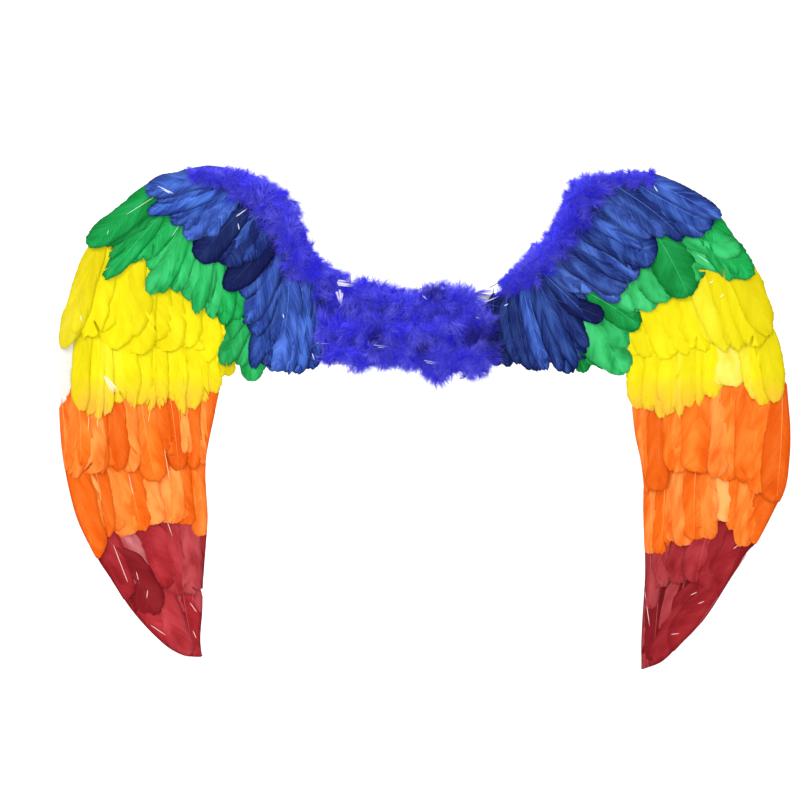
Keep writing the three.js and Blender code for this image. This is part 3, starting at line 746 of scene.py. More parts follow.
# Orange feathers
# Two rows of narrower feathers, dyed unevenly from peach to deep orange, overlap the red ones.
# The outermost have taken most dye, and a few are washed pale.
ORANGE_FEATHERS = {
    ("left", "lower"): [
        (350, -112, 320, -227, 26, 0.5, 0, 0.3),
        (333, -128, 324, -200, 20, 0, 0.4, 0),
        (318, -132, 308, -206, 17, 0.5, 0, 0),
        (303, -135, 290, -205, 25, 0, 0.15, 0),
        (288, -132, 275, -200, 21, 0.35, 0, 0),
        (275, -130, 262, -194, 20, 0, 0.35, 0),
        (259, -132, 250, -192, 17, 0.05, 0.3, 0),
        (248, -128, 243, -193, 17, 0, 0.25, 0),
        (236, -128, 232, -194, 17, 0.35, 0, 0),
        (224, -122, 218, -206, 18, 0.15, 0.1, 0),
    ],
    ("left", "upper"): [
        (352, -81, 350, -140, 14, 0.3, 0.1, 0),
        (343, -74, 340, -148, 18, 0.15, 0.1, 0.3),
        (338, -58, 334, -136, 20, 0.15, 0, 0),
        (326, -58, 321, -144, 18, 0, 0.25, 0),
        (314, -60, 315, -143, 16, 0.3, 0, 0),
        (305, -60, 297, -141, 19, 0.6, 0, 0),
        (293, -60, 285, -142, 22, 0, 0.2, 0),
        (276, -60, 261, -151, 25, 0.2, 0, 0),
        (262, -60, 253, -122, 18, 0.5, 0, 0),
        (250, -56, 239, -140, 20, 0.6, 0, 0),
        (239, -58, 235, -123, 18, 0, 0.3, 0),
        (226, -54, 224, -139, 16, 0.4, 0, 0),
        (215, -56, 217, -134, 14, 0.1, 0.25, 0),
        (204, -48, 213, -128, 15, 0.4, 0, 0),
    ],
    ("right", "lower"): [
        (341, -146, 328, -213, 22, 0.45, 0, 0),
        (324, -138, 314, -215, 18, 0.05, 0.15, 0),
        (311, -138, 307, -200, 15, 0.2, 0, 0),
        (297, -132, 299, -191, 15, 0, 0.7, 0),
        (283, -134, 281, -208, 17, 0.1, 0.1, 0),
        (270, -134, 268, -209, 20, 0.4, 0, 0),
        (254, -138, 257, -215, 18, 0.1, 0.25, 0),
        (238, -150, 234, -223, 15, 0.3, 0, 0),
        (224, -150, 225, -223, 15, 0.1, 0.15, 0),
    ],
    ("right", "upper"): [
        (352, -56, 346, -171, 28, 0.65, 0, 0),
        (336, -56, 331, -163, 24, 0.1, 0.05, 0),
        (319, -52, 318, -152, 20, 0.3, 0, 0),
        (304, -52, 300, -151, 22, 0.05, 0.05, 0),
        (290, -54, 288, -147, 18, 0, 0.2, 0),
        (275, -52, 270, -143, 30, 0.15, 0, 0),
        (258, -58, 252, -143, 20, 0, 0.1, 0),
        (245, -66, 246, -141, 16, 0.25, 0, 0),
        (232, -68, 231, -161, 19, 0.55, 0, 0),
        (215, -62, 220, -163, 17, 0.1, 0.15, 0),
    ],
}
ORANGE_QUILLS = {
    ("left", "lower"): [(288, -144, 284, -163)],
    ("left", "upper"): [
        (326, -86, 327, -101),
        (318, -88, 318, -98),
        (266, -74, 269, -94),
        (253, -119, 248, -149),
    ],
}
ORANGE_DYE = {
    "light": "#fb8c34",
    "middle": "#ee6e12",
    "dark": "#d85402",
    "deepest": "#c24200",
    "washed": "#ffb066",
    "shaft": "#ffa860",
    "quill_glint": "#ffd4ac",
    "rim_dye_and_shade": 0.35,
    "streak": 0.6,
}
ORANGE_HABIT = {
    "spread": 1.2,
    "round_from": (0.74, 0.9),
    "slope": 0.05,
    "splits": 0.1,
    "fray": 0.25,
    "quill": 0.32,
    "cut": True,
}
orange_feather = dyed_goose_feather("orange_dyed_goose_feather", ORANGE_DYE)
lay_rows("orange", ORANGE_FEATHERS, ORANGE_QUILLS, ORANGE_HABIT, orange_feather, np.random.default_rng(12))

# Yellow feathers
# Two rows of bright yellow feathers, nearly flat in colour, whose worn, frayed tips lie over the orange ones.
# One on the right has lost some of its dye, and the outermost leave a strip of bare card on the left.
YELLOW_FEATHERS = {
    ("left", "lower"): [
        (328, 5, 333, -82, 14, 0.15, 0, 0),
        (324, -10, 328, -80, 9, 0.05, 0, 0.3),
        (321, 2, 325, -86, 13, 0.05, 0, 0),
        (314, -10, 317, -91, 8, 0, 0.05, 0.3),
        (311, 0, 309, -86, 12, 0, 0.06, 0),
        (297, -4, 286, -74, 22, 0, 0, 0),
        (289, -12, 283, -79, 9, 0.05, 0, 0.3),
        (279, -6, 278, -76, 22, 0, 0, 0),
        (266, -12, 266, -82, 9, 0.1, 0, 0.3),
        (260, -4, 256, -77, 17, 0.1, 0, 0),
        (246, -4, 241, -74, 16, 0, 0, 0),
        (238, -12, 235, -85, 9, 0.05, 0, 0.3),
        (230, -4, 226, -80, 22, 0.1, 0, 0),
        (216, -14, 214, -73, 9, 0.05, 0, 0.3),
        (210, -12, 205, -64, 16, 0.05, 0, 0),
        (206, -10, 188, -47, 14, 0.5, 0, 0),
    ],
    ("left", "upper"): [
        (318, 86, 351, -21, 17, 0.35, 0.05, 0),
        (313, 88, 340, -8, 18, 0.2, 0, 0.3),
        (309, 78, 327, -9, 22, 0.05, 0, 0),
        (296, 76, 303, -22, 32, 0, 0, 0),
        (284, 84, 290, -12, 24, 0.15, 0, 0.2),
        (279, 68, 279, -27, 28, 0.1, 0, 0),
        (252, 46, 250, -24, 27, 0, 0, 0),
        (233, 36, 231, -20, 24, 0.05, 0, 0),
        (216, 26, 211, -34, 22, 0, 0, 0),
        (203, 14, 200, -34, 18, 0.05, 0, 0),
    ],
    ("right", "lower"): [
        (330, 8, 346, -74, 19, 0.25, 0, 0),
        (324, 4, 336, -76, 17, 0.1, 0, 0),
        (320, -10, 333, -77, 8, 0.05, 0, 0.3),
        (315, 2, 327, -69, 14, 0, 0.12, 0),
        (301, 0, 304, -58, 24, 0, 0.42, -0.3),
        (285, 2, 284, -69, 17, 0, 0, 0),
        (275, -10, 272, -77, 9, 0, 0, 0.3),
        (268, 2, 262, -79, 20, 0.15, 0, 0),
        (256, -12, 252, -88, 9, 0.05, 0.05, 0.3),
        (249, -2, 243, -86, 18, 0, 0, 0),
        (238, -12, 234, -90, 9, 0, 0, 0.3),
        (230, -6, 224, -82, 18, 0, 0, 0),
        (215, -13, 214, -80, 18, 0, 0, 0),
    ],
    ("right", "upper"): [
        (299, 84, 339, -9, 23, 0.3, 0, 0),
        (291, 86, 330, -20, 22, 0.2, 0, 0),
        (280, 76, 312, -22, 18, 0.25, 0, 0),
        (266, 64, 300, -22, 22, 0.1, 0.05, 0),
        (253, 40, 280, -22, 24, 0, 0, 0),
        (238, 32, 262, -26, 24, 0.05, 0, 0),
        (223, 24, 245, -31, 22, 0, 0, 0),
        (211, 14, 226, -29, 20, 0.1, 0, 0),
        (202, 6, 212, -27, 16, 0.2, 0, 0),
    ],
}
YELLOW_QUILLS = {
    ("left", "lower"): [
        (312, -47, 304, -64),
        (311, -47, 302, -64),
        (310, -48, 301, -63),
        (309, -48, 299, -62),
        (308, -49, 298, -61),
    ],
    ("left", "upper"): [(334, 12, 333, 6)],
    ("right", "upper"): [(286, 46, 282, 44), (296, 33, 292, 30)],
}
YELLOW_DYE = {
    "light": "#eadf16",
    "middle": "#e1d406",
    "dark": "#dac604",
    "deepest": "#a08800",
    "washed": "#e9e08c",
    "shaft": "#ecdc18",
    "quill_glint": "#fbf4cc",
    "worn": "#e2a534",
    "worn_between": (-45, -79),
    "rim_dye_and_shade": 0.1,
    "streak": 0.5,
}
YELLOW_HABIT = {
    "spread": 1.3,
    "round_from": (0.62, 0.84),
    "slope": 0.04,
    "splits": 0.0,
    "fray": 0.9,
    "quill": 0.5,
    "cut": False,
}
yellow_feather = dyed_goose_feather("yellow_dyed_goose_feather", YELLOW_DYE)
lay_rows("yellow", YELLOW_FEATHERS, YELLOW_QUILLS, YELLOW_HABIT, yellow_feather, np.random.default_rng(13))

# Green feathers
# One row of green feathers turns with the wing's shoulder, from level at its outer edge to hanging inside.
# The outer ones are long and dark, and the inner ones light, with the shafts showing as thin pale lines.
GREEN_FEATHERS = {
    ("left", ""): [
        (260, 142, 328, 80, 21, 0.35, 0, 0.3),
        (262, 118, 312, 80, 14, 0.6, 0, 0),
        (256, 112, 311, 48, 16, 0.25, 0, 0.4),
        (244, 108, 280, 68, 19, 0.05, 0.05, 0),
        (236, 100, 268, 33, 17, 0, 0.2, 0),
        (231, 98, 256, 34, 15, 0.15, 0, 0),
        (225, 96, 243, 35, 17, 0, 0.15, 0),
        (219, 92, 231, 27, 17, 0, 0.2, 0),
        (211, 92, 221, 14, 17, 0.1, 0.1, 0),
        (204, 72, 207, 9, 17, 0, 0.15, 0),
        (196, 66, 194, 3, 20, 0.1, 0, 0),
        (184, 62, 184, 8, 18, 0.3, 0, 0),
        (167, 26, 196, -37, 18, 0.3, 0.1, 0),
        (161, 10, 169, -53, 24, 0.15, 0.1, 0),
    ],
    ("right", ""): [
        (277, 114, 322, 48, 22, 0.15, 0, 0),
        (270, 110, 305, 47, 16, 0.1, 0.05, 0),
        (256, 94, 312, 73, 20, 0.0, 0.2, 0),
        (257, 84, 294, 56, 14, 0, 0.35, 0),
        (230, 92, 262, 30, 34, 0.48, 0, 1.4),
        (212, 70, 243, 27, 27, 0, 0.28, 0.4),
        (203, 62, 227, 17, 22, 0, 0.35, 0),
        (190, 50, 213, 16, 17, 0, 0.25, 0),
        (168, 32, 215, 1, 22, 0.5, 0, 0),
        (157, 22, 201, -45, 35, 0, 0.3, 0.5),
        (150, 8, 184, -40, 20, 0.4, 0, 0),
        (145, 0, 161, -44, 16, 0.6, 0, 0),
    ],
}
GREEN_QUILLS = {
    ("left", ""): [(290, 111, 259, 131), (246, 90, 239, 101), (308, 91, 307, 96)],
    ("right", ""): [(282, 64, 270, 72)],
}
GREEN_DYE = {
    "light": "#2cc068",
    "middle": "#12a049",
    "dark": "#067a2e",
    "deepest": "#00541a",
    "washed": "#5cd48c",
    "shaft": "#4cc47e",
    "quill_glint": "#cdf0d8",
    "rim_dye_and_shade": 0.5,
    "streak": 0.65,
}
GREEN_HABIT = {
    "spread": 1.25,
    "round_from": (0.5, 0.74),
    "slope": 0.06,
    "splits": 0.2,
    "fray": 0.5,
    "quill": 0.26,
    "cut": False,
}
green_feather = dyed_goose_feather("green_dyed_goose_feather", GREEN_DYE)
lay_rows("green", GREEN_FEATHERS, GREEN_QUILLS, GREEN_HABIT, green_feather, np.random.default_rng(14))

# Blue feathers
# The last row covers the shoulder, with its roots under the marabou. Its feathers are slender and well apart.
# Their dye runs from bright blue to navy. Their edges are darkest, partly from dye and partly as painted
# shade where one lies over the next.
BLUE_FEATHERS = {
    ("left", ""): [
        (192, 152, 272, 134, 20, 0.1, 0.1, 0),
        (198, 138, 270, 113, 17, 0.15, 0, 0),
        (194, 134, 247, 103, 16, 0.2, 0.05, 0),
        (192, 128, 233, 88, 18, 0.1, 0.15, 0),
        (184, 124, 213, 92, 18, 0.15, 0.1, 0),
        (176, 118, 221, 66, 27, 0.84, 0, 0.4),
        (164, 116, 194, 61, 32, 0.82, 0, 0),
        (164, 112, 185, 78, 15, 0.4, 0.1, 0.3),
        (151, 108, 176, 66, 22, 0.55, 0, 0),
        (148, 92, 194, 37, 25, 0.84, 0, 0.3),
        (140, 74, 173, 4, 23, 0.2, 0.05, 0),
        (142, 44, 166, -40, 17, 0.4, 0, 0),
        (138, 52, 152, -39, 18, 0.5, 0, 0),
        (132, 54, 145, -44, 24, 0.05, 0.15, 0),
        (117, 48, 133, -45, 19, 0.15, 0.05, 0),
        (111, 44, 123, -46, 17, 0.25, 0, 0),
        (103, 38, 110, -41, 18, 0.3, 0, 0),
    ],
    ("right", ""): [
        (214, 150, 294, 108, 18, 0.27, 0.08, 0),
        (212, 142, 285, 99, 24, 0.47, 0, 0),
        (212, 134, 277, 91, 19, 0.42, 0.08, 0),
        (192, 138, 257, 87, 20, 0.72, 0, 0),
        (186, 134, 239, 90, 17, 0.42, 0.08, 0),
        (178, 130, 226, 89, 18, 0.32, 0.12, 0),
        (164, 116, 213, 92, 24, 0.67, 0, 0),
        (156, 108, 230, 67, 34, 0.55, 0, 0),
        (158, 114, 218, 78, 12, 0.25, 0.08, 0.5),
        (150, 100, 224, 60, 13, 0.65, 0, 0.5),
        (147, 94, 213, 50, 25, 0.35, 0.08, 0),
        (142, 84, 206, 46, 12, 0.6, 0, 0.5),
        (138, 74, 201, 38, 20, 0.5, 0.08, 0),
        (136, 66, 195, 26, 18, 0.2, 0.16, 0),
        (124, 64, 156, 36, 15, 0.3, 0.2, 0.4),
        (126, 30, 179, 10, 16, 0.92, 0, 1.2),
        (122, 52, 168, 6, 12, 0.7, 0, 0.5),
        (120, 42, 158, -31, 20, 0.7, 0, 0),
        (122, 44, 163, -20, 14, 0.75, 0, 0.5),
        (115, 44, 152, -40, 15, 0.5, 0, 0.6),
        (112, 44, 147, -45, 19, 0.6, 0, 0),
        (110, 46, 138, -44, 14, 0.6, 0, 0.4),
        (104, 42, 129, -34, 18, 0.25, 0.04, 0.3),
        (100, 40, 122, -42, 14, 0.2, 0.05, 0.6),
        (97, 38, 115, -43, 18, 0.6, 0, 0),
        (92, 36, 108, -42, 16, 0.78, 0, 0.4),
        (89, 32, 103, -39, 16, 0.78, 0, 0),
        (85, 30, 95, -36, 15, 0.7, 0, 0.5),
        (80, 28, 85, -39, 15, 0.85, 0, 0),
        (71, 28, 74, -38, 17, 0.85, 0, 0),
    ],
}
BLUE_QUILLS = {
    ("left", ""): [
        (259, 139, 244, 132),
        (257, 137, 247, 132),
        (183, 110, 172, 118),
        (181, 103, 180, 97),
        (137, 14, 136, 10),
        (108, -25, 106, -31),
        (104, 34, 100, 31),
    ],
    ("right", ""): [
        (228, 140, 232, 134),
        (168, 111, 164, 106),
        (152, 97, 148, 93),
        (144, -22, 140, -25),
        (130, 60, 126, 55),
        (85, 24, 81, 22),
    ],
}
BLUE_DYE = {
    "light": "#5482e8",
    "middle": "#24449f",
    "dark": "#0c1c60",
    "deepest": "#050937",
    "washed": "#7092ec",
    "shaft": "#5c80dc",
    "quill_glint": "#dde3f6",
    "rim_dye_and_shade": 0.8,
    "streak": 0.85,
}
BLUE_HABIT = {
    "spread": 1.18,
    "round_from": (0.6, 0.84),
    "slope": 0.065,
    "splits": 0.3,
    "fray": 0.1,
    "quill": 0.55,
    "cut": False,
}
blue_feather = dyed_goose_feather("blue_dyed_goose_feather", BLUE_DYE)
lay_rows("blue", BLUE_FEATHERS, BLUE_QUILLS, BLUE_HABIT, blue_feather, np.random.default_rng(15))

# Marabou
# Strips of soft down are glued along each wing's leading edge and in three rows over the centre panel.
# Every little plume lies over the next, and its loose barbs spread, so that the strip has no hard edge.
TRIM_LIFT = 4.4 * MM
TRIM_HEIGHT = 22 * MM
CENTRE_HEIGHT = 24 * MM
DOME_RADIUS = 16 * MM
CORE_SHARE = 0.8  # of the dome
CORE_STEPS, CORE_SIDES = 44, 15
CORE_LUMPS = 0.04
NAP = (7600, 6 * MM, 0.3 * MM)  # hairs to a strip, length and radius
STRAYS = (1100, 12.5 * MM, 0.13 * MM)
HAIR_ROOTS, PLUME_ROOTS = (0.7, 0.84), (0.66, 0.86)  # shares of the dome where they start
HAIR_SCATTER = 0.5
PLUMES = 130
PLUME_BARBS = 52
PLUME_TURN = 0.7
PLUME_RISE = (0.1, 0.5)
HAIR_FULL, PLUME_FULL = 11 * MM, 14 * MM  # half width of a strip where they have their full length
TRIM_PLUME, TRIM_SPILL = 12 * MM, 0.9
ROW_PLUME, ROW_SPILL = 16 * MM, 0.2
BARB_RADIUS = 0.24 * MM
BARB_DROOP = 0.35
BARB_SCATTER = 0.16
BARB_FEET = 0.7 * MM  # how far off its quill a barb may start
TUFT_PLUMES = 4
DOWN_BELOW = 2 * MM  # how far under its base a strip may reach
# Reach, height and half width, in mm, from the wing's top to the panel
TRIMS = {
    "left": [
        (226, 152, 2.5),
        (212, 152, 4),
        (198, 149, 8),
        (180, 144, 12),
        (160, 136, 14),
        (146, 125, 15),
        (136, 111, 15),
        (128, 96, 14),
        (122, 79, 14),
        (111, 60, 14.5),
        (95, 51, 12),
        (78, 45, 10),
    ],
    "right": [
        (225, 149, 2.5),
        (212, 148, 4),
        (190, 146, 6),
        (166, 140, 12),
        (153, 127, 14),
        (142, 107, 13),
        (127, 81, 12),
        (108, 62, 12),
        (90, 47, 9),
        (79, 40, 5),
    ],
}
# X, height and half width, in mm, from left to right
CENTRE_ROWS = {
    "bottom": [
        (-95, -20, 14),
        (-52, -26, 13.5),
        (-26, -23, 12.5),
        (0, -28, 13.5),
        (24, -27, 13),
        (48, -32, 15),
        (66, -20, 12),
    ],
    "middle": [(-97, 3, 17), (-45, 0, 16), (0, -2, 16), (40, -1, 16), (54, 2, 15), (65, 0, 12)],
    "top": [
        (-93, 26, 15),
        (-66, 32, 14),
        (-45, 27, 13),
        (-20, 24, 12),
        (5, 23, 13),
        (27, 26, 13),
        (51, 25, 12.5),
    ],
}
# Plumes that hang out of the bottom row: x and height of the root and of the tip, in mm
TUFTS = [(4, -37, 11, -56), (9, -37, 18, -59), (14, -36, 26, -57), (46, -40, 50, -53)]
# Bare quills that show in the centre, pale ones and dark ones: x and height of both ends, and radius, in mm.
# The pale ones are partly real quills and partly painted glints.
PALE_QUILLS = [
    (-47, -17, -31, -19, 0.4),
    (-43, -19, -36, -20, 0.4),
    (2, -32, 18, -35, 0.4),
    (4, -34, 14, -36, 0.4),
    (-83, 44, -66, 41, 1.9),
    (-82, 42, -68, 40, 1.5),
    (-82, 46, -72, 45, 1.2),
    (-83.5, 35, -80, 23, 1.8),
    (-80.5, 37, -79, 20, 1.9),
    (-78, 34, -79, 22, 1.7),
    (1, 31, 5, 27, 0.6),
    (53, 10, 57, 9, 0.5),
    (-104, -15, -88, -16, 0.3),
    (62, 25, 76, 31, 0.6),
]
DARK_QUILLS = [
    (-8, 17, 12, 8, 0.4),
    (-55, 27, -38, 22, 0.4),
    (66, 39, 92, 54, 0.5),
    (58, 21, 84, 31, 0.5),
]
QUILL_LIFT = 23 * MM
# Hollows between plumes, where the down is short and has painted shade: x, height, half width and half
# height, in mm
SHADED_HOLLOWS = [
    (-45, -9, 7, 10),
    (1, -20, 6, 9),
    (52, -5, 7, 11),
    (-97, 24, 6, 9),
    (11, 31, 11, 5),
    (68, -12, 5, 16),
]


def closed_hairs(roots, heading, droop, length, radius, bends):
    """Closed three-sided hairs: at share v a hair is at root + length (v heading + v^2 droop).

    Its rings stand at even shares with radius (1 - 0.4 v), and it ends in a point. Returns points, triangles
    and each point's share.
    """
    helper = np.where(np.abs(heading[:, :1]) < 0.7, [[1.0, 0, 0]], [[0, 1.0, 0]])
    first = unit(np.cross(heading, helper))
    second = np.cross(heading, first)
    turn = 2 * np.pi * np.arange(3) / 3
    round_hair = first[:, None] * np.cos(turn)[:, None] + second[:, None] * np.sin(turn)[:, None]
    shares = np.arange(bends) / bends
    rings = [
        (roots + length[:, None] * (v * heading + v**2 * droop))[:, None]
        + (1 - 0.4 * v) * radius[:, None, None] * round_hair
        for v in shares
    ]
    tips = (roots + length[:, None] * (heading + droop))[:, None]
    points = np.concatenate(rings + [tips], axis=1)
    size = 3 * bends + 1
    a = np.arange(3)
    b = (a + 1) % 3
    low = 3 * np.arange(bends - 1)[:, None]
    rising = np.stack([low + a, low + b, low + b + 3], axis=-1).reshape(-1, 3)
    falling = np.stack([low + a, low + b + 3, low + a + 3], axis=-1).reshape(-1, 3)
    crown = np.stack([3 * bends - 3 + a, 3 * bends - 3 + b, np.full(3, 3 * bends)], axis=-1)
    pattern = np.concatenate([[(0, 2, 1)], rising, falling, crown])
    triangles = (size * np.arange(len(roots))[:, None, None] + pattern).reshape(-1, 3)
    return points.reshape(-1, 3), triangles, np.tile([*np.repeat(shares, 3), 1.0], len(roots))


def marabou_strip(stations, dome, base_lift, place, plume_length, spill, tufts, quill_sets, rng):
    """A strip of down: a domed core along its line, a nap of short hairs, some long thin strays, and plumes.

    At angle a over the dome, a point is half cos a to the side and base + dome half / radius sin a in lift.
    A plume's quill runs down the dome, turned at random, and rises a little. Barbs leave it to both sides.
    Spill is how much longer the plumes are that fall to the side where the angle is 0.
    """
    line = np.array(stations) * MM

    def dome_point(t, angle, scale):
        here = along(line, t)
        ahead = unit(along(line, t + 0.02)[:, :2] - along(line, t - 0.02)[:, :2])
        beside = np.stack([-ahead[:, 1], ahead[:, 0]], axis=1)
        ends = np.maximum(np.sqrt(1 - np.minimum(1, np.abs(2 * t - 1) ** 12)), 0.9)
        half = here[:, 2] * ends * scale
        spot = here[:, :2] + beside * (half * np.cos(angle))[:, None]
        lift = base_lift + dome * half / DOME_RADIUS * np.sin(angle)
        outward = np.column_stack([beside * np.cos(angle)[:, None], np.sin(angle)])
        downward = np.column_stack([-beside * np.sin(angle)[:, None], np.cos(angle)])
        beyond = np.clip(np.abs(2 * t - 1) * 6 - 5, 0, 1) * np.sign(t - 0.5)
        onward = np.column_stack([ahead, np.zeros(len(t))])
        return np.column_stack([spot, lift]), outward, downward, onward, beyond[:, None] * onward

    # How deep in a hollow a point lies: it shortens the hairs there and paints shade on the core and hairs
    def hollow(points):
        deep = np.zeros(len(points))
        for x, height, wide, high in SHADED_HOLLOWS:
            away = (points[:, :2] / MM - (x, height)) / (wide, high)
            deep += np.exp(-(away**2).sum(axis=1))
        return np.minimum(deep, 1)

    t, angle = np.meshgrid(np.linspace(0, 1, CORE_STEPS), np.linspace(0, np.pi, CORE_SIDES), indexing="ij")
    lumps = CORE_SHARE * (1 + CORE_LUMPS * rng.normal(size=t.size))
    core = dome_point(t.ravel(), angle.ravel(), lumps)[0]
    core_marks = np.column_stack([np.zeros(len(core)), np.full(len(core), 0.4), hollow(core)])
    core, core_faces = loft(place(core[:, 0], core[:, 1], core[:, 2]).reshape(*t.shape, 3))
    parts = [(core, core_faces, core_marks)]

    # Nap and strays, combed to the sides
    for count, typical, thick in (NAP, STRAYS):
        t = rng.uniform(0, 1, count)
        angle = np.arccos(rng.uniform(-1, 1, count))
        roots, outward, downward, onward, beyond = dome_point(t, angle, rng.uniform(*HAIR_ROOTS, count))
        comb = np.cos(angle)[:, None] * -downward
        heading = unit(outward + 0.5 * comb + beyond + rng.normal(0, HAIR_SCATTER, roots.shape))
        deep = hollow(roots)
        length = typical * rng.uniform(0.6, 1.3, count) * (1 - 0.25 * deep)
        length *= np.clip(along(line, t)[:, 2] / HAIR_FULL, 0.5, 1)
        radius = thick * rng.uniform(0.7, 1.2, count)
        points, triangles, share = closed_hairs(roots, heading, 0 * heading, length, radius, 1)
        each = len(points) // count
        shade = np.repeat(np.column_stack([rng.uniform(0.2, 0.8, count), deep]), each, axis=0)
        parts.append((points, [triangles], np.column_stack([share, shade])))

    # Plumes, in no order along the strip, that mostly fall to the nearer side
    t = rng.permutation((np.arange(PLUMES) + rng.uniform(0, 1, PLUMES)) / PLUMES)
    angle = np.arccos(rng.uniform(-1, 1, PLUMES)) * 0.94 + 0.03 * np.pi
    roots, outward, downward, onward, beyond = dome_point(t, angle, rng.uniform(*PLUME_ROOTS, PLUMES))
    falls = np.where(angle + rng.normal(0, 0.5, PLUMES) > np.pi / 2, 1.0, -1.0)[:, None]
    turn = rng.normal(0, PLUME_TURN, PLUMES)[:, None]
    rise = rng.uniform(*PLUME_RISE, PLUMES)[:, None]
    quill = unit(falls * downward * np.cos(turn) + onward * np.sin(turn) + beyond + outward * np.tan(rise))
    spread = unit(np.cross(quill, outward))
    size = plume_length * rng.uniform(0.75, 1.2, PLUMES)
    size *= np.clip(along(line, t)[:, 2] / PLUME_FULL, 0.55, 1.1)
    size *= 1 + spill * np.clip(np.cos(angle) + 0.3, 0, 1)
    size *= 1 - 0.3 * hollow(roots + 0.5 * size[:, None] * quill)

    # A few plumes together make a tuft that hangs out of the strip
    for x, height, tip_x, tip_height in np.repeat(np.array(tufts).reshape(-1, 4), TUFT_PLUMES, axis=0) * MM:
        hang = np.array([tip_x - x, tip_height - height, 0]) + rng.normal(0, 2 * MM, 3)
        roots = np.concatenate([roots, [(x, height, base_lift + 0.4 * dome)]])
        quill = np.concatenate([quill, unit(hang)[None]])
        outward = np.concatenate([outward, [(0, 0, 1)]])
        spread = np.concatenate([spread, unit(np.cross(hang, (0, 0, 1)))[None]])
        size = np.append(size, np.linalg.norm(hang) * 0.75)

    # Barbs leave each quill by turns to both sides, and droop back to the strip
    count = len(roots)
    which = np.repeat(np.arange(count), PLUME_BARBS)
    v = np.tile(np.linspace(0, 1, PLUME_BARBS), count)
    hand = np.tile(np.where(np.arange(PLUME_BARBS) % 2, 1.0, -1.0), count)
    start = roots[which] + 0.6 * (v * size[which])[:, None] * quill[which]
    start = start + rng.normal(0, BARB_FEET, start.shape)
    fan = (1.2 - 0.9 * v) * hand * rng.uniform(0.3, 1.1, len(v))
    heading = unit(quill[which] + fan[:, None] * spread[which] + rng.normal(0, BARB_SCATTER, start.shape))
    droop = -BARB_DROOP * outward[which] + rng.normal(0, 0.14, start.shape)
    stray = rng.uniform(0, 1, len(which))
    length = size[which] * (0.5 + 0.45 * stray + 0.35 * stray**12)
    radius = BARB_RADIUS * rng.uniform(0.7, 1.2, len(which)) * (1.1 - 0.6 * stray**8)
    points, triangles, share = closed_hairs(start, heading, droop, length, radius, 2)
    tone = np.clip(rng.uniform(0, 1, count)[which] + rng.normal(0, 0.15, len(which)), 0, 1)
    shade = np.repeat(np.column_stack([tone, hollow(start)]), len(points) // len(start), axis=0)
    parts.append((points, [triangles], np.column_stack([share, shade])))

    for quills, mark in quill_sets:
        ends = np.array(quills).reshape(-1, 5) * MM
        roots = np.column_stack([ends[:, :2], np.full(len(ends), QUILL_LIFT)])
        reach = np.column_stack([ends[:, 2:4] - ends[:, :2], np.zeros(len(ends))])
        length = np.linalg.norm(reach, axis=1)
        points, triangles, share = closed_hairs(roots, unit(reach), 0 * reach, length, ends[:, 4], 2)
        parts.append((points, [triangles], np.tile([1.0, 0.5, mark], (len(points), 1))))

    for k, (points, faces, marks) in enumerate(parts[1:], 1):
        lift = np.maximum(points[:, 2], base_lift - DOWN_BELOW)
        parts[k] = (place(points[:, 0], points[:, 1], lift), faces, marks)
    return gathered(parts)


# Dyed marabou: down so fine that it looks like velvet, and glows at its edges. Its hairs are drawn several
# times too thick, so that they show. They are lighter to the tip, and no two plumes took the dye alike.
marabou, tree, shader = new_material("blue_dyed_marabou")
fluff = add_node(tree, "Attribute", attribute_name="fluff").outputs["Vector"]
share, tone, deep = add_node(tree, "SeparateXYZ", {0: fluff}).outputs
to_root = add_node(tree, "MapRange", {0: share, 1: 0.0, 2: 0.6, 3: 0.45, 4: 0.0}).outputs[0]
# Painted shade in the hollows between plumes. The dark quills take the same dark colour as their own.
shadow = add_node(tree, "Math", {0: deep, 1: 0.95}, operation="MULTIPLY").outputs[0]
# Pale quills: partly real quills, partly painted glints
quill_glint = add_node(tree, "MapRange", {0: deep, 1: 0.0, 2: -1.0, 3: 0.0, 4: 1.0}).outputs[0]
colour = linear("#2a22ec")
for part, shade in ((tone, "#7875ff"), (to_root, "#251fec"), (shadow, "#121270"), (quill_glint, "#d9d6fa")):
    colour = add_node(tree, "Mix", {0: part, 6: colour, 7: linear(shade)}, data_type="RGBA").outputs[2]
tree.links.new(colour, shader.inputs["Base Color"])
shader.inputs["Roughness"].default_value = 0.8
shader.inputs["Specular IOR Level"].default_value = 0.1
shader.inputs["Sheen Weight"].default_value = 0.25
shader.inputs["Sheen Tint"].default_value = linear("#6a6cff")


def on_panel(x, height, lift):
    """Points at x and height, a lift in front of the centre panel."""
    return np.stack([x, -CARD_THICKNESS - lift, height], axis=-1)


rng = np.random.default_rng(16)
for side in SIDES:
    points, faces, marks = marabou_strip(
        TRIMS[side],
        TRIM_HEIGHT,
        TRIM_LIFT,
        lambda reach, height, lift: on_wing(side, reach, height, lift),
        TRIM_PLUME,
        TRIM_SPILL,
        [],
        [],
        rng,
    )
    trim = make_piece(f"marabou_edge_{side}", points, faces, marabou, {"fluff": marks})
    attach(trim, "root")
    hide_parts(f"marabou_trim_{side}")

for row, stations in CENTRE_ROWS.items():
    tufts = TUFTS if row == "bottom" else []
    quill_sets = [(PALE_QUILLS, -1), (DARK_QUILLS, 1)] if row == "middle" else []
    points, faces, marks = marabou_strip(
        stations, CENTRE_HEIGHT, SEAT_GAP, on_panel, ROW_PLUME, ROW_SPILL, tufts, quill_sets, rng
    )
    strip = make_piece(f"marabou_row_{row}", points, faces, marabou, {"fluff": marks})
    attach(strip, "root")
    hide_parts("marabou_centre")

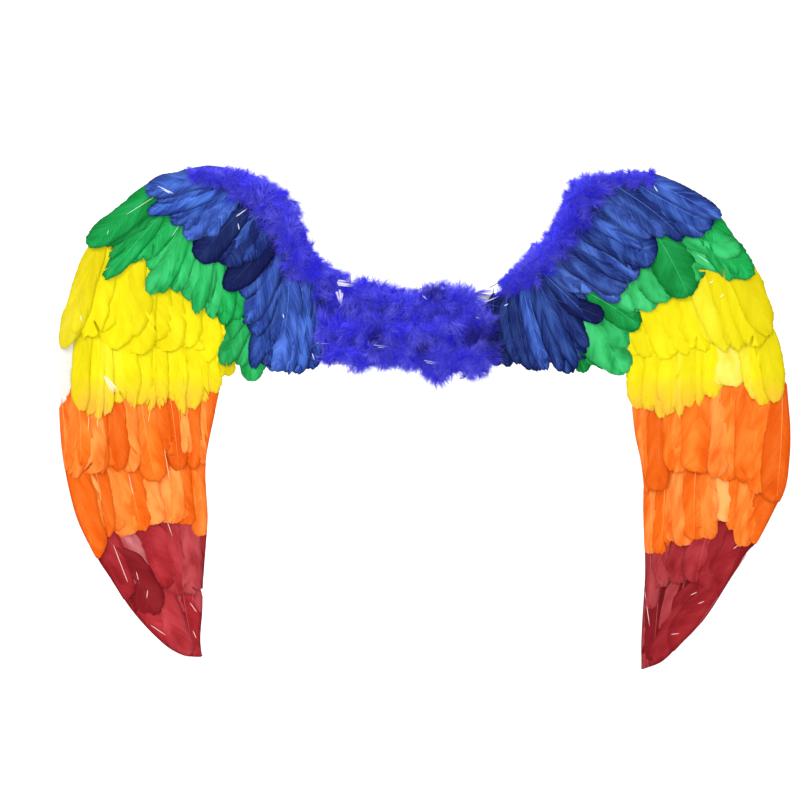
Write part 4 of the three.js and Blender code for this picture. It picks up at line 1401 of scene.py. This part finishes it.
# Studio
# A round sweep of pale paper: a floor that turns up into a wall on all sides, well behind every camera.
# Wide soft lamps and an even white sky light it, and the lamps themselves don't show.
FLOOR = -0.42
FLOOR_RADIUS = 3.6
SWEEP_RADIUS = 1.6
WALL_TOP = 3.5
SWEEP_SIDES = 96
SWEEP_STEPS = 16
SKY_STRENGTH = 0.4
turn = np.linspace(-np.pi / 2, 0, SWEEP_STEPS)
radius = np.append(FLOOR_RADIUS + SWEEP_RADIUS * np.cos(turn), FLOOR_RADIUS + SWEEP_RADIUS)[:, None]
height = np.append(FLOOR + SWEEP_RADIUS * (1 + np.sin(turn)), WALL_TOP)[:, None]
around = np.linspace(0, 2 * np.pi, SWEEP_SIDES, endpoint=False)
rings = np.stack([radius * np.cos(around), radius * np.sin(around), height + 0 * around], axis=-1)
points, (wall, floor, _) = loft(rings)
paper, tree, shader = new_material("white_backdrop_paper")
shader.inputs["Base Color"].default_value = linear("#f7f7f7")
shader.inputs["Roughness"].default_value = 0.9
backdrop = make_piece("backdrop", points, [wall, floor], paper)

world = bpy.data.worlds.new("white_sky")
world.use_nodes = True
world.node_tree.nodes["Background"].inputs["Color"].default_value = (1, 1, 1, 1)
world.node_tree.nodes["Background"].inputs["Strength"].default_value = SKY_STRENGTH
bpy.context.scene.world = world

LAMPS = {  # place, aim, width, power
    "key": ((-1.2, -2.0, 1.4), (0, 0, -0.1), 1.2, 29),
    "front": ((0.2, -2.8, 0.4), (0, 0, -0.1), 1.6, 28),
    "floor_wash": ((0.0, 0.4, 2.4), (0, 1.2, -0.2), 2.0, 54),
    "wall_wash": ((0.0, 2.6, 2.6), (0, 5.2, 0.2), 2.4, 72),
}
for name, (spot, aim, wide, power) in LAMPS.items():
    lamp = bpy.data.lights.new(name, "AREA")
    lamp.shape = "DISK"
    lamp.size = wide
    lamp.energy = power
    stand = bpy.data.objects.new(name, lamp)
    stand.visible_camera = False
    bpy.context.scene.collection.objects.link(stand)
    stand.location = spot
    stand.rotation_euler = (Vector(aim) - Vector(spot)).to_track_quat("-Z", "Y").to_euler()

# The camera stands square to the wings, as far off as a short portrait lens needs.
VIEW_MIDDLE = (-21.6 * MM, -70.8 * MM)
VIEW_WIDTH = 786.9 * MM
CAMERA_DISTANCE = 2.2
FEATHER_PLANE = -12 * MM
SENSOR = 36.0
view = bpy.data.cameras.new("camera")
view.sensor_width = SENSOR
view.lens = SENSOR * (CAMERA_DISTANCE + FEATHER_PLANE) / VIEW_WIDTH
camera = bpy.data.objects.new("camera", view)
camera.location = (VIEW_MIDDLE[0], -CAMERA_DISTANCE, VIEW_MIDDLE[1])
camera.rotation_euler = (np.pi / 2, 0, 0)
bpy.context.scene.collection.objects.link(camera)
bpy.context.scene.camera = camera
bpy.context.scene.view_settings.view_transform = "Standard"
